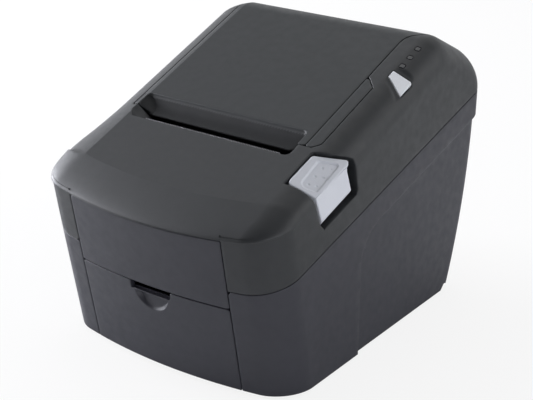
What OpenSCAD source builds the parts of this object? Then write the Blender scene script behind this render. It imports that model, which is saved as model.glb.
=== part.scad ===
// Clamshell receipt printer for 80 mm paper rolls. Every length is in millimetres.
// The origin is on the table under the middle of the machine. +X is to the right
// seen from the front, the front looks along -Y and +Z is up.

/* [Case] */
// Width of the case across its sides
body_w = 145; // [143:1:152]
// Depth of the case from the lip of the hood to the back
body_d = 201; // [200:1:206]
// Height of the bottom edge of the case above the table
foot_h = 1.5; // [1:0.1:2.5]
// Height of the front edge of the paper slot above the table
slot_edge_z = 111.5; // [110.5:0.5:116]
// Distance of the crest in front of the back
crest_back = 49.5; // [47:0.5:52]
// Slope of the top plane in degrees
top_slope = 20.4; // [19:0.2:22]
// Height of the lip of the hood above the table
hood_z = 84.5; // [83:0.5:86]
// Height of the widest level of the back
back_z = 112; // [110:1:114]
// Thickness of the covers
wall = 2.4; // [2:0.1:2.8]
// Gap at the seams between covers
seam = 0.4; // [0.3:0.05:0.6]
// Step by which the hood stands proud of the front below it
lip_step = 1.1; // [0.8:0.1:1.6]
// Backward lean of the lower front in degrees
front_lean = 10.1; // [8:0.5:12]
// Height of the seam between upper and lower case at mid depth
part_mid_z = 84.4; // [83:0.2:86]
// Slope of that seam in degrees
part_slope = 15.9; // [14:0.5:17]
// Depth of the lower area on each side
side_recess = 1.9; // [1:0.1:2.2]
// Position of the front edge of that lower area
recess_y = -18.6; // [-24:0.2:-14]
// Height of the raised band between that area and the seam
band_h = 13.4; // [11:0.2:16]
// Radius of the corner of that area
recess_r = 24; // [18:1:28]

/* [Case roundings] */
// Radius of the nose of the hood
nose_r = 16; // [13:0.5:18]
// Radius of the crest
crest_r = 18; // [15:0.5:20]
// Radius of the upper back
back_r = 26.8; // [25:0.2:28]
// Radius of the curve of the back wall
rear_r = 310; // [280:10:360]
// Radius of the shoulders beside the top plane
shoulder_r = 14.5; // [13:0.5:16]
// Radius of the upright front corners
front_corner_r = 17; // [15:0.5:19]
// Radius of the bow of the front seen from above
front_bow_r = 280; // [250:10:340]
// Radius of the upright back corners
rear_corner_r = 9; // [8:0.5:11]

/* [Front panel and door] */
// Half width of the panel and of the door under it
insert_x = 46.7; // [45:0.1:47.5]
// Height of the top edge of the door above the table
door_top = 48.3; // [46:0.1:50]
// Height of the axis of the door above the table
door_axis_z = 13; // [12:0.5:15]
// Distance of that axis behind the face of the door
door_axis_in = 3.5; // [3.4:0.1:4]
// Diameter of the pins of the door
door_pin_d = 3; // [2.5:0.1:3.5]
// Length of each pin of the door
door_pin_l = 3; // [2.4:0.1:3.4]
// Half width of the finger notch
notch_x = 12; // [10:0.5:14]
// Height of the open part of the notch
notch_h = 4; // [3:0.5:5]
// Depth of the hollow under the notch
scoop_t = 5; // [4.5:0.1:6]

/* [Paper cover and slot] */
// Distance of the left edge of the paper cover from the side
cover_left_in = 18.6; // [17.5:0.1:19.5]
// Step from the wide to the narrow part of the paper cover
cover_step = 7; // [6:0.2:8]
// Distance of the wide part of the paper cover from the side
cover_side = 14.5; // [14.3:0.1:15.1]
// How far the rear of the paper cover reaches beyond its wide part
cover_flare = 1.7; // [1:0.1:3]
// Position of the front edge of the paper cover
cover_front = -35.9; // [-36.4:0.1:-35.5]
// Position of the rear edge of the slot
slot_rear = -27.3; // [-28:0.1:-26.6]
// Position of the front lip of the slot
slot_front = -44.6; // [-45.4:0.1:-44]
// Right end of the slot
slot_right = 46.4; // [46:0.1:48]
// Height of the lower edge of the sloping slot wall
slot_foot_z = 111.2; // [110.8:0.1:111.4]
// Width of the step from the wide to the narrow part of the cover
cover_step_y = 11; // [9:0.5:14]
// Position where the cover widens again behind the crest
cover_flare_y = 51; // [50:0.5:53]
// Radius of the barrel of the hinge
barrel_r = 5.8; // [5.4:0.1:6]
// Distance of the hinge axis in front of the back
hinge_in = 6.2; // [6.2:0.1:6.6]
// Height of the hinge axis
hinge_z = 113; // [112.6:0.1:114]
// Radial clearance round the barrel of the hinge
hinge_gap = 0.4; // [0.3:0.05:0.6]
// Diameter of the hinge rod
hinge_rod_d = 4; // [3:0.1:5]
// Radial clearance of pins and shafts that turn
pin_gap = 0.05; // [0.03:0.01:0.08]

/* [Lever] */
// Distance of the left edge of the lever from the side
lever_in = 14.1; // [12.5:0.1:14.3]
// Diameter of the pin of the lever
lever_pin_d = 3; // [2.5:0.1:3.5]
// Gap round the lever
lever_gap = 0.9; // [0.7:0.1:1.2]
// Travel of the lever in degrees
lever_travel = 4; // [2:0.5:5]

/* [Control panel] */
// Distance of the lamps from the side
lamp_in = 10.1; // [9.5:0.1:11]
// Position of the foremost lamp
lamp_y = 31.2; // [30:0.2:32]
// Distance between lamps
lamp_pitch = 7.2; // [6.6:0.1:7.6]
// Diameter of the lamps
lamp_d = 2.4; // [2:0.1:3]
// Distance of the button from the side
key_in = 5.9; // [5.5:0.1:6.5]
// Position of the button
key_y = 23.2; // [22.6:0.1:24]
// Gap round the button
key_gap = 0.3; // [0.25:0.05:0.5]
// Travel of the button
key_travel = 0.8; // [0.4:0.1:1]

/* [Paper roll] */
// Diameter of the room for the paper roll
bin_d = 86; // [80:1:87]
// Inner width of the bin for the paper roll
bin_w = 83; // [81:0.5:84]
// Thickness of the walls of the bin
bin_wall = 2; // [1.6:0.1:2.2]
// Distance of the middle of the roll from the rear
roll_in = 58.5; // [57.5:0.5:59.5]
// Height of the middle of the roll above the table
roll_z = 68; // [67.5:0.5:70]

/* [Platen and drive] */
// Position of the axis of the platen
platen_y = -27; // [-27.4:0.1:-26.6]
// Height of the axis of the platen
platen_z = 92; // [91.6:0.1:92.2]
// Diameter of the rubber of the platen
platen_d = 14; // [13:0.2:14.2]
// Length of the rubber of the platen
platen_w = 82; // [80:0.5:83]
// Diameter of the shaft of the platen
shaft_d = 6; // [5:0.2:6.4]
// Diameter of the bushes of the platen
bush_d = 10; // [9:0.2:10.4]
// Thickness of the metal frame
frame_t = 1.5; // [1.2:0.1:1.6]
// Diameter of the gear of the platen
platen_gear_d = 13.5; // [12.5:0.5:13.5]
// Diameter of the idler gear
idler_d = 24; // [23:0.5:24]
// Diameter of the gear of the feed motor
motor_gear_d = 10; // [9:0.5:10]
// Width of the gears
gear_w = 4; // [3:0.5:4.5]
// Gap between the tips of two gears
gear_gap = 0.3; // [0.25:0.05:0.4]
// Direction from the platen to the idler in degrees
idler_dir = -76.5; // [-80:0.5:-74]
// Direction from the idler to the motor gear in degrees
motor_dir = -110; // [-114:1:-106]
// Diameter of the feed motor
motor_d = 32; // [28:1:32]
// Length of the feed motor
motor_l = 19; // [15:1:20]

/* [Print head] */
// Direction from the platen to the heating line in degrees
head_dir = 210; // [205:1:214]
// Gap for the paper between the platen and the head
paper_gap = 0.3; // [0.2:0.05:0.4]
// Length of the print head
head_w = 80; // [78:0.5:82]
// Height of the print head along its face
head_h = 16; // [14:0.5:17]
// Thickness of the print head
head_t = 2.5; // [2:0.1:2.8]
// Depth of the heat sink behind the head
sink_t = 8; // [6:0.5:8.5]

/* [Cutter] */
// Height of the table of the cutter
cutter_z = 100; // [99.8:0.1:100.2]
// Travel of the moving blade
blade_travel = 6; // [4:0.5:6.5]
// Thickness of the blades
blade_t = 0.8; // [0.6:0.1:0.9]
// Position of the edge of the moving blade at rest
blade_edge_y = -39.5; // [-40.2:0.1:-39.2]
// Depth of the moving blade
blade_depth = 14; // [13:0.5:15]
// Diameter of the pinion of the cutter
pinion_d = 8; // [7.5:0.1:8]
// Diameter of the motor of the cutter
cutter_motor_d = 12; // [10:0.5:12]

/* [Electronics] */
// Half width of the main board
board_x = 35.5; // [34:0.5:36.5]
// Height of the main board above the table
board_z = 8; // [7:0.5:9]
// Thickness of the circuit boards
board_t = 1.6; // [1.2:0.1:1.8]
// Distance of the plate with the sockets from the rear
plate_in = 30.5; // [29.5:0.5:31.5]
// Half width of the bay for the cables
bay_x = 48; // [46:0.5:49]
// Height of the ceiling of the bay above the table
bay_z = 30; // [29:0.5:30.4]
// Distance of the power rocker from the middle
rocker_x = 22; // [16:1:26]
// Height of the power rocker above the table
rocker_z = 30; // [26:1:36]
// Travel of the power rocker in degrees
rocker_travel = 14; // [8:1:16]

/* [Base and fasteners] */
// Thickness of the base plate
base_t = 1.6; // [1.2:0.1:2]
// Diameter of the feet
foot_d = 12; // [10:0.5:14]
// Distance of the feet from the middle
foot_x = 54; // [50:0.5:56]
// Position of the front feet
foot_front_y = -44; // [-48:1:-34]
// Position of the rear feet
foot_rear_y = 48; // [38:1:52]
// Diameter of the screws
screw_d = 3; // [2.5:0.1:3.2]

/* [Hidden] */
$fn = 48;

half_w = body_w / 2;
y_front = -body_d / 2;
y_rear = body_d / 2;
far = 400;
slope_t = tan(top_slope);
crest_y = y_rear - crest_back;
function plane_z(y) = slot_edge_z + (y - slot_front) * slope_t;
crest_z = plane_z(crest_y);
function part_z(y) = part_mid_z + y * tan(part_slope);
// Points of an arc in a plane, from angle a0 to a1
function arc(u, v, r, a0, a1, n = 8) =
    [for (k = [0:n]) let (a = a0 + (a1 - a0) * k / n) [u + r * cos(a), v + r * sin(a)]];

// Circles of the side outline: each is [y, z] of its centre
crest_c = [crest_y + crest_r * sin(top_slope), crest_z - crest_r * cos(top_slope)];
back_c = [y_rear - back_r, back_z];
rear_c = [y_rear - rear_r, back_z];
crest_to_back = back_c - crest_c;
back_normal = atan2(crest_to_back[1], crest_to_back[0])
            + acos((crest_r - back_r) / norm(crest_to_back));
back_p = crest_c + crest_r * [cos(back_normal), sin(back_normal)];

// Place of the nose in the frame of the top plane, measured from above the lip
lip_drop = plane_z(y_front) - hood_z;
nose_s = -lip_drop * sin(top_slope)
       + sqrt(pow(nose_r, 2) - pow(nose_r - lip_drop * cos(top_slope), 2));

hinge_y = y_rear - hinge_in;
plate_y = y_rear - plate_in;
roll_y = y_rear - roll_in;
cover_left = cover_left_in - half_w;
cover_wide = half_w - cover_side;
cover_right = cover_wide - cover_step;
cover_rear = cover_wide + cover_flare;
lever_left = half_w - lever_in;
lamp_x = half_w - lamp_in;
key_x = half_w - key_in;
arm_x = platen_w / 2 + 2.6;
frame_x = arm_x + 4.9;
lower_lip_y = y_front + lip_step;
hood_bow_r = front_bow_r + lip_step;
function front_y(x, z) =
    lower_lip_y + (hood_z - z) * tan(front_lean) + front_bow_r - sqrt(pow(front_bow_r, 2) - x * x);

// A section drawn in Y and Z, extruded from x0 to x1
module along_x(x0, x1) {
    translate([x0, 0, 0]) rotate([90, 0, 90]) linear_extrude(x1 - x0) children();
}

// A round bar along X, from x0 to x1
module bar(x0, x1, y, z, d) {
    translate([x0, y, z]) rotate([0, 90, 0]) cylinder(d = d, h = x1 - x0);
}

// A box from corner a to corner b
module block(a, b) {
    translate(a) cube(b - a);
}

// The frame of the top plane at depth y: its Z points out of the plane
module on_top(y) {
    translate([0, y, plane_z(y)]) rotate([top_slope, 0, 0]) children();
}

// Side outline of the case, moved in by i and open downwards to the height low
module side_form(i, low) {
    foot_a = -asin((back_z - low) / (rear_r - i));
    start = y_front - 30;
    along_x(-half_w - 10, half_w + 10) polygon(concat(
        [[start, low], [start, plane_z(start) - i / cos(top_slope)]],
        arc(crest_c[0], crest_c[1], crest_r - i, 90 + top_slope, back_normal, 8),
        arc(back_c[0], back_c[1], back_r - i, back_normal, 4, 9),
        arc(rear_c[0], rear_c[1], rear_r - i, 0, foot_a, 8)));
}

// Section with round upper corners, its top at height -i
module shoulder_section(i) {
    x = half_w - shoulder_r;
    polygon(concat([[half_w - i, -far / 2]],
        arc(x, -shoulder_r, shoulder_r - i, 0, 90, 10),
        arc(-x, -shoulder_r, shoulder_r - i, 90, 180, 10),
        [[i - half_w, -far / 2]]));
}

module shoulders(i, y, z, tilt) {
    translate([0, y, z]) rotate([tilt, 0, 0]) rotate([90, 0, 0])
        linear_extrude(2 * far, center = true) shoulder_section(i);
}

// Plan of a bowed front with round corners
module plan_section(i, y, bow_r, corner_r) {
    x = half_w - corner_r;
    bow_y = y + bow_r;
    corner_y = bow_y - sqrt(pow(bow_r - corner_r, 2) - x * x);
    a = atan2(corner_y - bow_y, x);
    polygon(concat(
        arc(x, corner_y, corner_r - i, 0, a, 8),
        [for (k = [1:15]) let (b = a + (-180 - 2 * a) * k / 16)
            [(bow_r - i) * cos(b), bow_y + (bow_r - i) * sin(b)]],
        arc(-x, corner_y, corner_r - i, -180 - a, -180, 8),
        [[i - half_w, far], [half_w - i, far]]));
}

module front_form(i) {
    translate([0, lower_lip_y, hood_z]) rotate([front_lean, 0, 0]) translate([0, 0, -far / 2])
        linear_extrude(far) plan_section(i, 0, front_bow_r, front_corner_r);
}

module hood_corner_form(i) {
    translate([0, 0, -10]) linear_extrude(far)
        plan_section(i, y_front, hood_bow_r, front_corner_r + lip_step);
}

// The back with its round upright corners, leaning along the middle of its curve
module rear_form(i) {
    a = -asin((back_z - foot_h) / rear_r) / 2;
    x = half_w - rear_corner_r;
    translate([0, rear_c[0] + rear_r * cos(a), rear_c[1] + rear_r * sin(a)]) rotate([a, 0, 0])
        linear_extrude(far, center = true) polygon(concat([[half_w - i, -far]],
            arc(x, -rear_corner_r, rear_corner_r - i, 0, 90, 6),
            arc(-x, -rear_corner_r, rear_corner_r - i, 90, 180, 6), [[i - half_w, -far]]));
}

// The nose of the hood: a disc parallel to the top plane with a round upper edge
module nose_form(i) {
    on_top(y_front) translate([0, nose_s + hood_bow_r - nose_r, 0])
        rotate_extrude($fn = 180) polygon(concat([[0, -far / 3], [hood_bow_r - i, -far / 3]],
            arc(hood_bow_r - nose_r, -nose_r, nose_r - i, 0, 90, 10), [[0, -i]]));
}

// Outer form of the hood and of everything behind it, moved in by i
module upper_form(i, low) {
    intersection() {
        side_form(i, low);
        shoulders(i, crest_y, crest_z, top_slope);
        shoulders(i, back_p[0], back_p[1], back_normal - 90);
        rear_form(i);
        nose_form(i);
        hood_corner_form(i);
    }
}

// Outer form of the hood with the set-back front below its lip, moved in by i
module cover_form(i, low) {
    intersection() {
        upper_form(i, low);
        union() {
            above(hood_z);
            front_form(i);
        }
    }
}

// Outer form below the lip of the hood, moved in by i
module lower_form(i, low) {
    intersection() {
        side_form(i, low);
        front_form(i);
        rear_form(i);
    }
}

// Everything above the seam between upper and lower case, raised by g
module above_seam(g) {
    along_x(-far / 2, far / 2) polygon([[-far / 2, part_z(-far / 2) + g],
        [far / 2, part_z(far / 2) + g], [far / 2, far], [-far / 2, far]]);
}

module below_seam(g) {
    along_x(-far / 2, far / 2) polygon([[-far / 2, part_z(-far / 2) - g],
        [-far / 2, -far], [far / 2, -far], [far / 2, part_z(far / 2) - g]]);
}

module above(z) {
    block([-far / 2, -far / 2, z], [far / 2, far / 2, far]);
}

cover_cut = 3;

// Plan of the paper cover, grown by g
module cover_outline(g) {
    polygon([[cover_left - g, cover_front - g], [cover_wide - cover_cut, cover_front - g],
        [cover_wide + g, cover_front + cover_cut - g], [cover_wide + g, cover_step_y],
        [cover_right + g, cover_step_y + cover_wide - cover_right],
        [cover_right + g, cover_flare_y],
        [cover_rear + g, cover_flare_y + cover_rear - cover_right],
        [cover_rear + g, far / 2], [cover_left - g, far / 2]]);
}

module cover_prism(g, low) {
    translate([0, 0, low]) linear_extrude(far) cover_outline(g);
}

// ---- Case ----

base_front_y = -69;
inner_x = half_w - wall - side_recess;
door_axis_y = front_y(insert_x, door_axis_z) + door_axis_in;
ear_x = insert_x + seam + 0.4;
bulkhead_y = -64;
bulkhead_z = rocker_z + 24;
boss_x = half_w - 12.5;
boss_front_y = -56;
boss_rear_y = 60;
boss_d = 7;
boss_h = 14;
ear_t = 2.6;
screw_gap = 0.1;
base_top = foot_h + base_t;
post_d = 8;
post_x = frame_x - 5.5;
post_front_y = -44;
post_rear_y = -19;
frame_z = 37;
board_post_x = 30;
board_front_y = -12;
leg_x = 40.5;
leg_d = 6;

module side_recess_cut(side) {
    line_z = part_z(recess_y) - band_h;
    corner_c = [recess_y + recess_r,
                line_z + recess_r * tan(part_slope) - recess_r / cos(part_slope)];
    mirror([side < 0 ? 1 : 0, 0, 0]) along_x(half_w - side_recess, half_w + 5)
        polygon(concat([[recess_y, -5]],
            arc(corner_c[0], corner_c[1], recess_r, 180, 90 + part_slope, 8),
            [[far / 2, part_z(far / 2) - band_h], [far / 2, -5]]));
}

module lower_case() {
    color([0.24, 0.24, 0.27]) difference() {
        union() {
            difference() {
                lower_form(0, foot_h);
                intersection() {
                    lower_form(wall, -5);
                    block([-inner_x, -far, -far], [inner_x, far, far]);
                }
            }
            intersection() {
                lower_form(1, foot_h);
                union() {
                    // Bulkhead behind the door, with the ears for its pins
                    block([-inner_x - 1, bulkhead_y - wall, base_top + seam],
                          [inner_x + 1, bulkhead_y, bulkhead_z]);
                    for (x = [-ear_x - ear_t, ear_x])
                        block([x, -far, door_axis_z - 4], [x + ear_t, bulkhead_y - 1, door_axis_z + 4]);
                    // Walls of the cable bay
                    difference() {
                        block([-bay_x - 2, plate_y, base_top + seam], [bay_x + 2, far, bay_z + 2]);
                        block([-bay_x, plate_y - 1, -1], [bay_x, far, bay_z]);
                    }
                }
            }
            for (side = [0, 1], y = [boss_front_y, boss_rear_y])
                mirror([side, 0, 0]) translate([boss_x, y, base_top]) {
                    cylinder(d = boss_d, h = boss_h);
                    block([0, -1, 0], [inner_x - boss_x + 1, 1, boss_h]);
                }
        }
        above_seam(-seam / 2);
        block([-insert_x - seam, -far, -1], [insert_x + seam, base_front_y, hood_z + 5]);
        for (side = [-1, 1]) side_recess_cut(side);
        block([-bay_x, plate_y + 3, -1], [bay_x, far, bay_z]);
        bar(cover_left - seam, cover_rear + seam, hinge_y, hinge_z, 2 * (barrel_r + hinge_gap));
        bar(-ear_x - 4, -ear_x + 4, door_axis_y, door_axis_z, door_pin_d);
        bar(ear_x - 4, ear_x + 4, door_axis_y, door_axis_z, door_pin_d);
        block([rocker_x - 6.2, bulkhead_y - 3, rocker_z - 10],
              [rocker_x + 6.2, bulkhead_y + 1, rocker_z + 10]);
        for (x = [-boss_x, boss_x], y = [boss_front_y, boss_rear_y])
            translate([x, y, 0]) cylinder(d = screw_d, h = base_top + boss_h - 2);
    }
}

module base_plate() {
    color([0.3, 0.3, 0.33]) difference() {
        union() {
            intersection() {
                lower_form(wall + seam, -5);
                block([-inner_x + seam, base_front_y + seam, foot_h],
                      [inner_x - seam, far, base_top]);
            }
            for (x = [-post_x, post_x], y = [post_front_y, post_rear_y])
                translate([x, y, base_top - 0.5]) cylinder(d = post_d, h = frame_z - base_top + 0.5);
            for (x = [-board_post_x, board_post_x], y = [board_front_y + 6, plate_y - 20])
                translate([x, y, base_top - 0.5]) cylinder(d = 5, h = board_z - base_top + 0.5);
        }
        for (x = [-boss_x, boss_x], y = [boss_front_y, boss_rear_y])
            translate([x, y, 0]) cylinder(r = screw_d / 2 + screw_gap, h = 10);
        for (x = [-post_x, post_x], y = [post_front_y, post_rear_y])
            translate([x, y, frame_z - 9]) cylinder(d = screw_d, h = 10);
    }
}

module feet() {
    for (x = [-foot_x, foot_x], y = [foot_front_y, foot_rear_y])
        color([0.1, 0.1, 0.1]) translate([x, y, 0]) cylinder(d = foot_d, h = foot_h);
}

module screw(length) {
    head_h = 0.8;
    translate([0, 0, -head_h]) cylinder(d = 1.8 * screw_d, h = head_h);
    translate([0, 0, -0.01]) cylinder(d = screw_d, h = length);
}

module base_screws() {
    for (x = [-boss_x, boss_x], y = [boss_front_y, boss_rear_y])
        color([0.6, 0.6, 0.62]) translate([x, y, foot_h]) screw(10);
}

// ---- Upper cover and its lever, lamps and button ----

key_angle = asin((key_x - half_w + shoulder_r) / shoulder_r);
lever_y = -60.4;
lever_s_left = 20.9;
lever_s_right = 31;
lever_tip_z = 84.5;
lever_tip_y = -52;
lever_foot_slope = 18.7;
lever_axis_y = -22;
lever_axis_z = 111;
lever_drop = 36 * sin(lever_travel);
lever_t = 3;
lever_arm_x = half_w - 10.5;
hood_wall_z = 104;
ear_w = 7;
board_w = -10.4;
board_s0 = 12;
board_s1 = 50;

// The block that the lever fills, grown by g, with more room by d below and by b behind
module lever_block(g, d, b) {
    intersection() {
        on_top(lever_y) translate([0, 0, -60]) linear_extrude(90) polygon([
            [lever_left - g, -g], [far, -g], [far, lever_s_right + g + b],
            [half_w, lever_s_right + g + b], [lever_left - g, lever_s_left + g]]);
        along_x(lever_left - g, far) polygon([
            [-far, lever_tip_z - g - d - (far + lever_tip_y) * tan(lever_foot_slope)],
            [far, lever_tip_z - g - d + (far - lever_tip_y) * tan(lever_foot_slope)],
            [far, far], [-far, far]]);
    }
}

// The frame of the button: its Z points out of the shoulder
module on_key() {
    on_top(key_y) translate([half_w - shoulder_r, 0, -shoulder_r])
        rotate([0, key_angle, 0]) children();
}

// Round-cornered triangle of the button, grown by g
module key_section(g) {
    polygon(concat(arc(-5.2, 0.6, 1 + g, 90, 210, 5), arc(3.6, -4.8, 1 + g, 210, 360, 5),
        arc(3.6, 4.8, 1 + g, 0, 90, 4)));
}

module lamp_hole(n, r) {
    on_top(lamp_y + n * lamp_pitch) translate([lamp_x, 0, -shoulder_r]) cylinder(r = r, h = 30);
}

module upper_cover() {
    color([0.22, 0.22, 0.24]) difference() {
        union() {
            difference() {
                cover_form(0, foot_h);
                cover_form(wall, -5);
            }
            intersection() {
                upper_form(1, foot_h);
                union() {
                    // Front wall of the slot
                    block([cover_left - 4, slot_front - wall, hood_wall_z],
                          [slot_right + 4, slot_front, far]);
                    // Ears of the hinge rod
                    block([cover_left - seam - ear_w, hinge_y - 7, hinge_z - 8],
                          [cover_left - seam, far, far]);
                    block([cover_rear + seam, hinge_y - 7, hinge_z - 8],
                          [cover_rear + seam + ear_w, far, far]);
                    // Ears of the lever pin
                    for (x = [lever_arm_x - 3.3, lever_arm_x + lever_t + 0.3])
                        block([x, lever_axis_y - 3, lever_axis_z - 4],
                              [x + 3, lever_axis_y + 3, far]);
                    // Posts of the control board
                    for (s = [board_s0 + 4, board_s1 - 4])
                        on_top(0) translate([lamp_x - 5.4, s, board_w])
                            cylinder(d = 4, h = 12);
                }
            }
        }
        below_seam(-seam / 2);
        block([-insert_x - seam, -far, -1], [insert_x + seam, base_front_y, hood_z]);
        cover_prism(seam / 2, hood_z + 15);
        block([cover_left - seam / 2, slot_front, hood_z + 15],
              [slot_right, cover_front, far]);
        bar(cover_left - seam, cover_rear + seam, hinge_y, hinge_z, 2 * (barrel_r + hinge_gap));
        bar(cover_left - ear_w - 2, cover_rear + ear_w - 1, hinge_y, hinge_z, hinge_rod_d);
        bar(lever_arm_x - 4, lever_arm_x + lever_t + 2, lever_axis_y, lever_axis_z, lever_pin_d);
        lever_block(lever_gap, lever_drop, 1.5);
        on_key() translate([0, 0, shoulder_r - 6]) linear_extrude(20) key_section(key_gap);
        for (n = [0, 1, 2]) lamp_hole(n, lamp_d / 2 + 0.05);
        side_recess_cut(1);
        side_recess_cut(-1);
    }
}

module front_panel() {
    color([0.25, 0.25, 0.28]) difference() {
        intersection() {
            lower_form(0, foot_h);
            block([-insert_x, -far, door_top + seam], [insert_x, base_front_y, hood_z - 0.3]);
        }
        difference() {
            lower_form(wall, foot_h);
            // Side flanges that hold the panel
            for (x = [-insert_x, insert_x - 3])
                block([x, -far, door_top + 2], [x + 3, base_front_y, hood_z - 2]);
        }
    }
}

cheek_t = 3;
cheek_d = 7;

module front_door() {
    color([0.24, 0.24, 0.28]) difference() {
        union() {
            difference() {
                intersection() {
                    lower_form(0, foot_h);
                    block([-insert_x, -far, foot_h + 0.2], [insert_x, base_front_y, door_top]);
                }
                lower_form(wall, -5);
            }
            // Backing of the finger hollow
            intersection() {
                lower_form(0.5, foot_h);
                difference() {
                    block([-notch_x - 3, -far, door_top - notch_h - 14],
                          [notch_x + 3, base_front_y, door_top]);
                    lower_form(wall + scoop_t, -5);
                }
            }
            // Cheeks that turn on the pins
            for (x = [-insert_x, insert_x - cheek_t]) intersection() {
                lower_form(0.5, foot_h);
                union() {
                    bar(x, x + cheek_t, door_axis_y, door_axis_z, cheek_d);
                    block([x, -far, door_axis_z - cheek_d / 2],
                          [x + cheek_t, door_axis_y, door_axis_z + cheek_d / 2]);
                }
            }
        }
        for (x = [-insert_x - 1, insert_x - cheek_t])
            bar(x, x + cheek_t + 1, door_axis_y, door_axis_z, door_pin_d + 2 * pin_gap);
        block([-notch_x, -far, door_top - notch_h], [notch_x, far, door_top + 1]);
        // Hollow under the notch
        intersection() {
            translate([0, 0, door_top - notch_h]) rotate([90, 0, 0]) cylinder(r = notch_x, h = far);
            along_x(-notch_x, notch_x) polygon([
                [front_y(0, door_top), door_top + 1],
                [front_y(0, door_top) + scoop_t + 0.6, door_top - notch_h + 1],
                [front_y(0, door_top) + scoop_t + 0.6, door_top - notch_h - 4],
                [front_y(0, door_top - 20) - 1, door_top - notch_h - notch_x - 1],
                [-far, door_top - notch_h - notch_x - 1], [-far, door_top + 1]]);
        }
    }
}

module door_pins() {
    color([0.7, 0.7, 0.72]) {
        bar(-ear_x - ear_t, -insert_x + door_pin_l, door_axis_y, door_axis_z, door_pin_d);
        bar(insert_x - door_pin_l, ear_x + ear_t, door_axis_y, door_axis_z, door_pin_d);
    }
}

// ---- Paper cover with the platen ----

arm_t = 2.4;
beam_z = cutter_z - 0.4;
blade_z = cutter_z + 1.2;
fixed_front_y = blade_edge_y + blade_travel / 2 + 0.1;

hinge_edge = 1.15 * barrel_r;
neck_half = 0.4 * barrel_r;

module slot_wall_section() {
    top = [slot_rear, plane_z(slot_rear) - 0.6];
    foot = [cover_front - 0.6, slot_foot_z];
    turn = [slot_rear - 2, slot_foot_z + 2.4];
    inner = [for (k = [0:8]) let (t = k / 8)
        (1 - t) * (1 - t) * top + 2 * t * (1 - t) * turn + t * t * foot];
    polygon(concat(inner, [[foot[0], foot[1] - wall / 2], [foot[0] + 3, foot[1] - wall / 2],
        [turn[0] + wall, turn[1] - wall / 2], [top[0] + wall + 1, top[1] - wall / 2]]));
}

module paper_cover() {
    color([0.21, 0.21, 0.23]) difference() {
        union() {
            difference() {
                intersection() {
                    upper_form(0, foot_h);
                    cover_prism(-seam / 2, hood_z + 16);
                    union() {
                        above(hinge_z + hinge_edge);
                        block([-far, -far, 0], [far, hinge_y - 20, far]);
                    }
                }
                upper_form(wall, -5);
                block([-far, -far, 0], [slot_right + wall, slot_rear, far]);
            }
            along_x(cover_left + seam / 2, slot_right) slot_wall_section();
            // Cheek at the right end of the slot
            intersection() {
                upper_form(0, foot_h);
                block([slot_right, cover_front + seam / 2, slot_foot_z],
                      [slot_right + wall, slot_rear + wall, far]);
            }
            // Barrel of the hinge and the neck that joins it to the cover
            bar(cover_left + seam / 2, cover_rear - seam / 2, hinge_y, hinge_z, 2 * barrel_r);
            block([cover_left + seam / 2, hinge_y - neck_half, hinge_z + neck_half],
                  [cover_rear - seam / 2, hinge_y + neck_half, hinge_z + hinge_edge + 2 * wall]);
        }
        bar(-far, far, hinge_y, hinge_z, hinge_rod_d + 2 * pin_gap);
    }
}

module hinge_rod() {
    color([0.7, 0.7, 0.72])
        bar(cover_left - ear_w - 2, cover_rear + ear_w - 1, hinge_y, hinge_z, hinge_rod_d);
}

module platen_carrier() {
    arm_z = platen_z - 7.5;
    color([0.15, 0.15, 0.16]) difference() {
        intersection() {
            upper_form(wall + 0.1, foot_h);
            union() {
                for (x = [-arm_x - arm_t, arm_x]) {
                    block([x, platen_y - 6, arm_z], [x + arm_t, platen_y + 12, blade_z]);
                    block([x, slot_rear + 3.4, blade_z - 1], [x + arm_t, platen_y + 12, far]);
                }
                block([-arm_x - 0.5, fixed_front_y + 2, beam_z],
                      [arm_x + 0.5, platen_y + 12, blade_z]);
                block([-arm_x - 0.5, platen_y + 9, beam_z],
                      [arm_x + 0.5, platen_y + 12, far]);
            }
        }
        bar(-far, far, platen_y, platen_z, bush_d);
    }
}

module fixed_blade() {
    color([0.75, 0.75, 0.77])
        block([-platen_w / 2, fixed_front_y, blade_z],
              [platen_w / 2, slot_rear + 2, blade_z + blade_t]);
}

gear_x = frame_x + 2.5;

module platen_shaft() {
    color([0.75, 0.75, 0.77])
        bar(-frame_x - 1, gear_x + gear_w + 0.5, platen_y, platen_z, shaft_d);
}

module platen_rubber() {
    color([0.13, 0.13, 0.14]) difference() {
        bar(-platen_w / 2, platen_w / 2, platen_y, platen_z, platen_d);
        bar(-far, far, platen_y, platen_z, shaft_d);
    }
}

module platen_bushes() {
    for (x = [-frame_x, arm_x]) color([0.85, 0.82, 0.7]) difference() {
        bar(x, x + frame_x - arm_x, platen_y, platen_z, bush_d);
        bar(-far, far, platen_y, platen_z, shaft_d + 2 * pin_gap);
    }
}

// ---- Gears ----

idler_span = (platen_gear_d + idler_d) / 2 + gear_gap;
motor_span = (idler_d + motor_gear_d) / 2 + gear_gap;
idler_y = platen_y + idler_span * cos(idler_dir);
idler_z = platen_z + idler_span * sin(idler_dir);
motor_y = idler_y + motor_span * cos(motor_dir);
motor_z = idler_z + motor_span * sin(motor_dir);
tooth_pitch = 3.1;

// A toothed wheel of outer diameter d round the X axis
module gear(y, z, d, bore) {
    depth = 0.9;
    teeth = round(d * PI / tooth_pitch);
    translate([gear_x, y, z]) rotate([90, 0, 90]) linear_extrude(gear_w) difference() {
        polygon([for (k = [0:4 * teeth - 1])
            let (a = 360 * (k + 0.5) / (4 * teeth), r = d / 2 - (k % 4 < 2 ? 0 : depth))
            [r * cos(a), r * sin(a)]]);
        circle(d = bore);
    }
}

module platen_gear() {
    color([0.85, 0.85, 0.82]) gear(platen_y, platen_z, platen_gear_d, shaft_d);
}

idler_pin_d = 4;
motor_shaft_d = 3;

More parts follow.
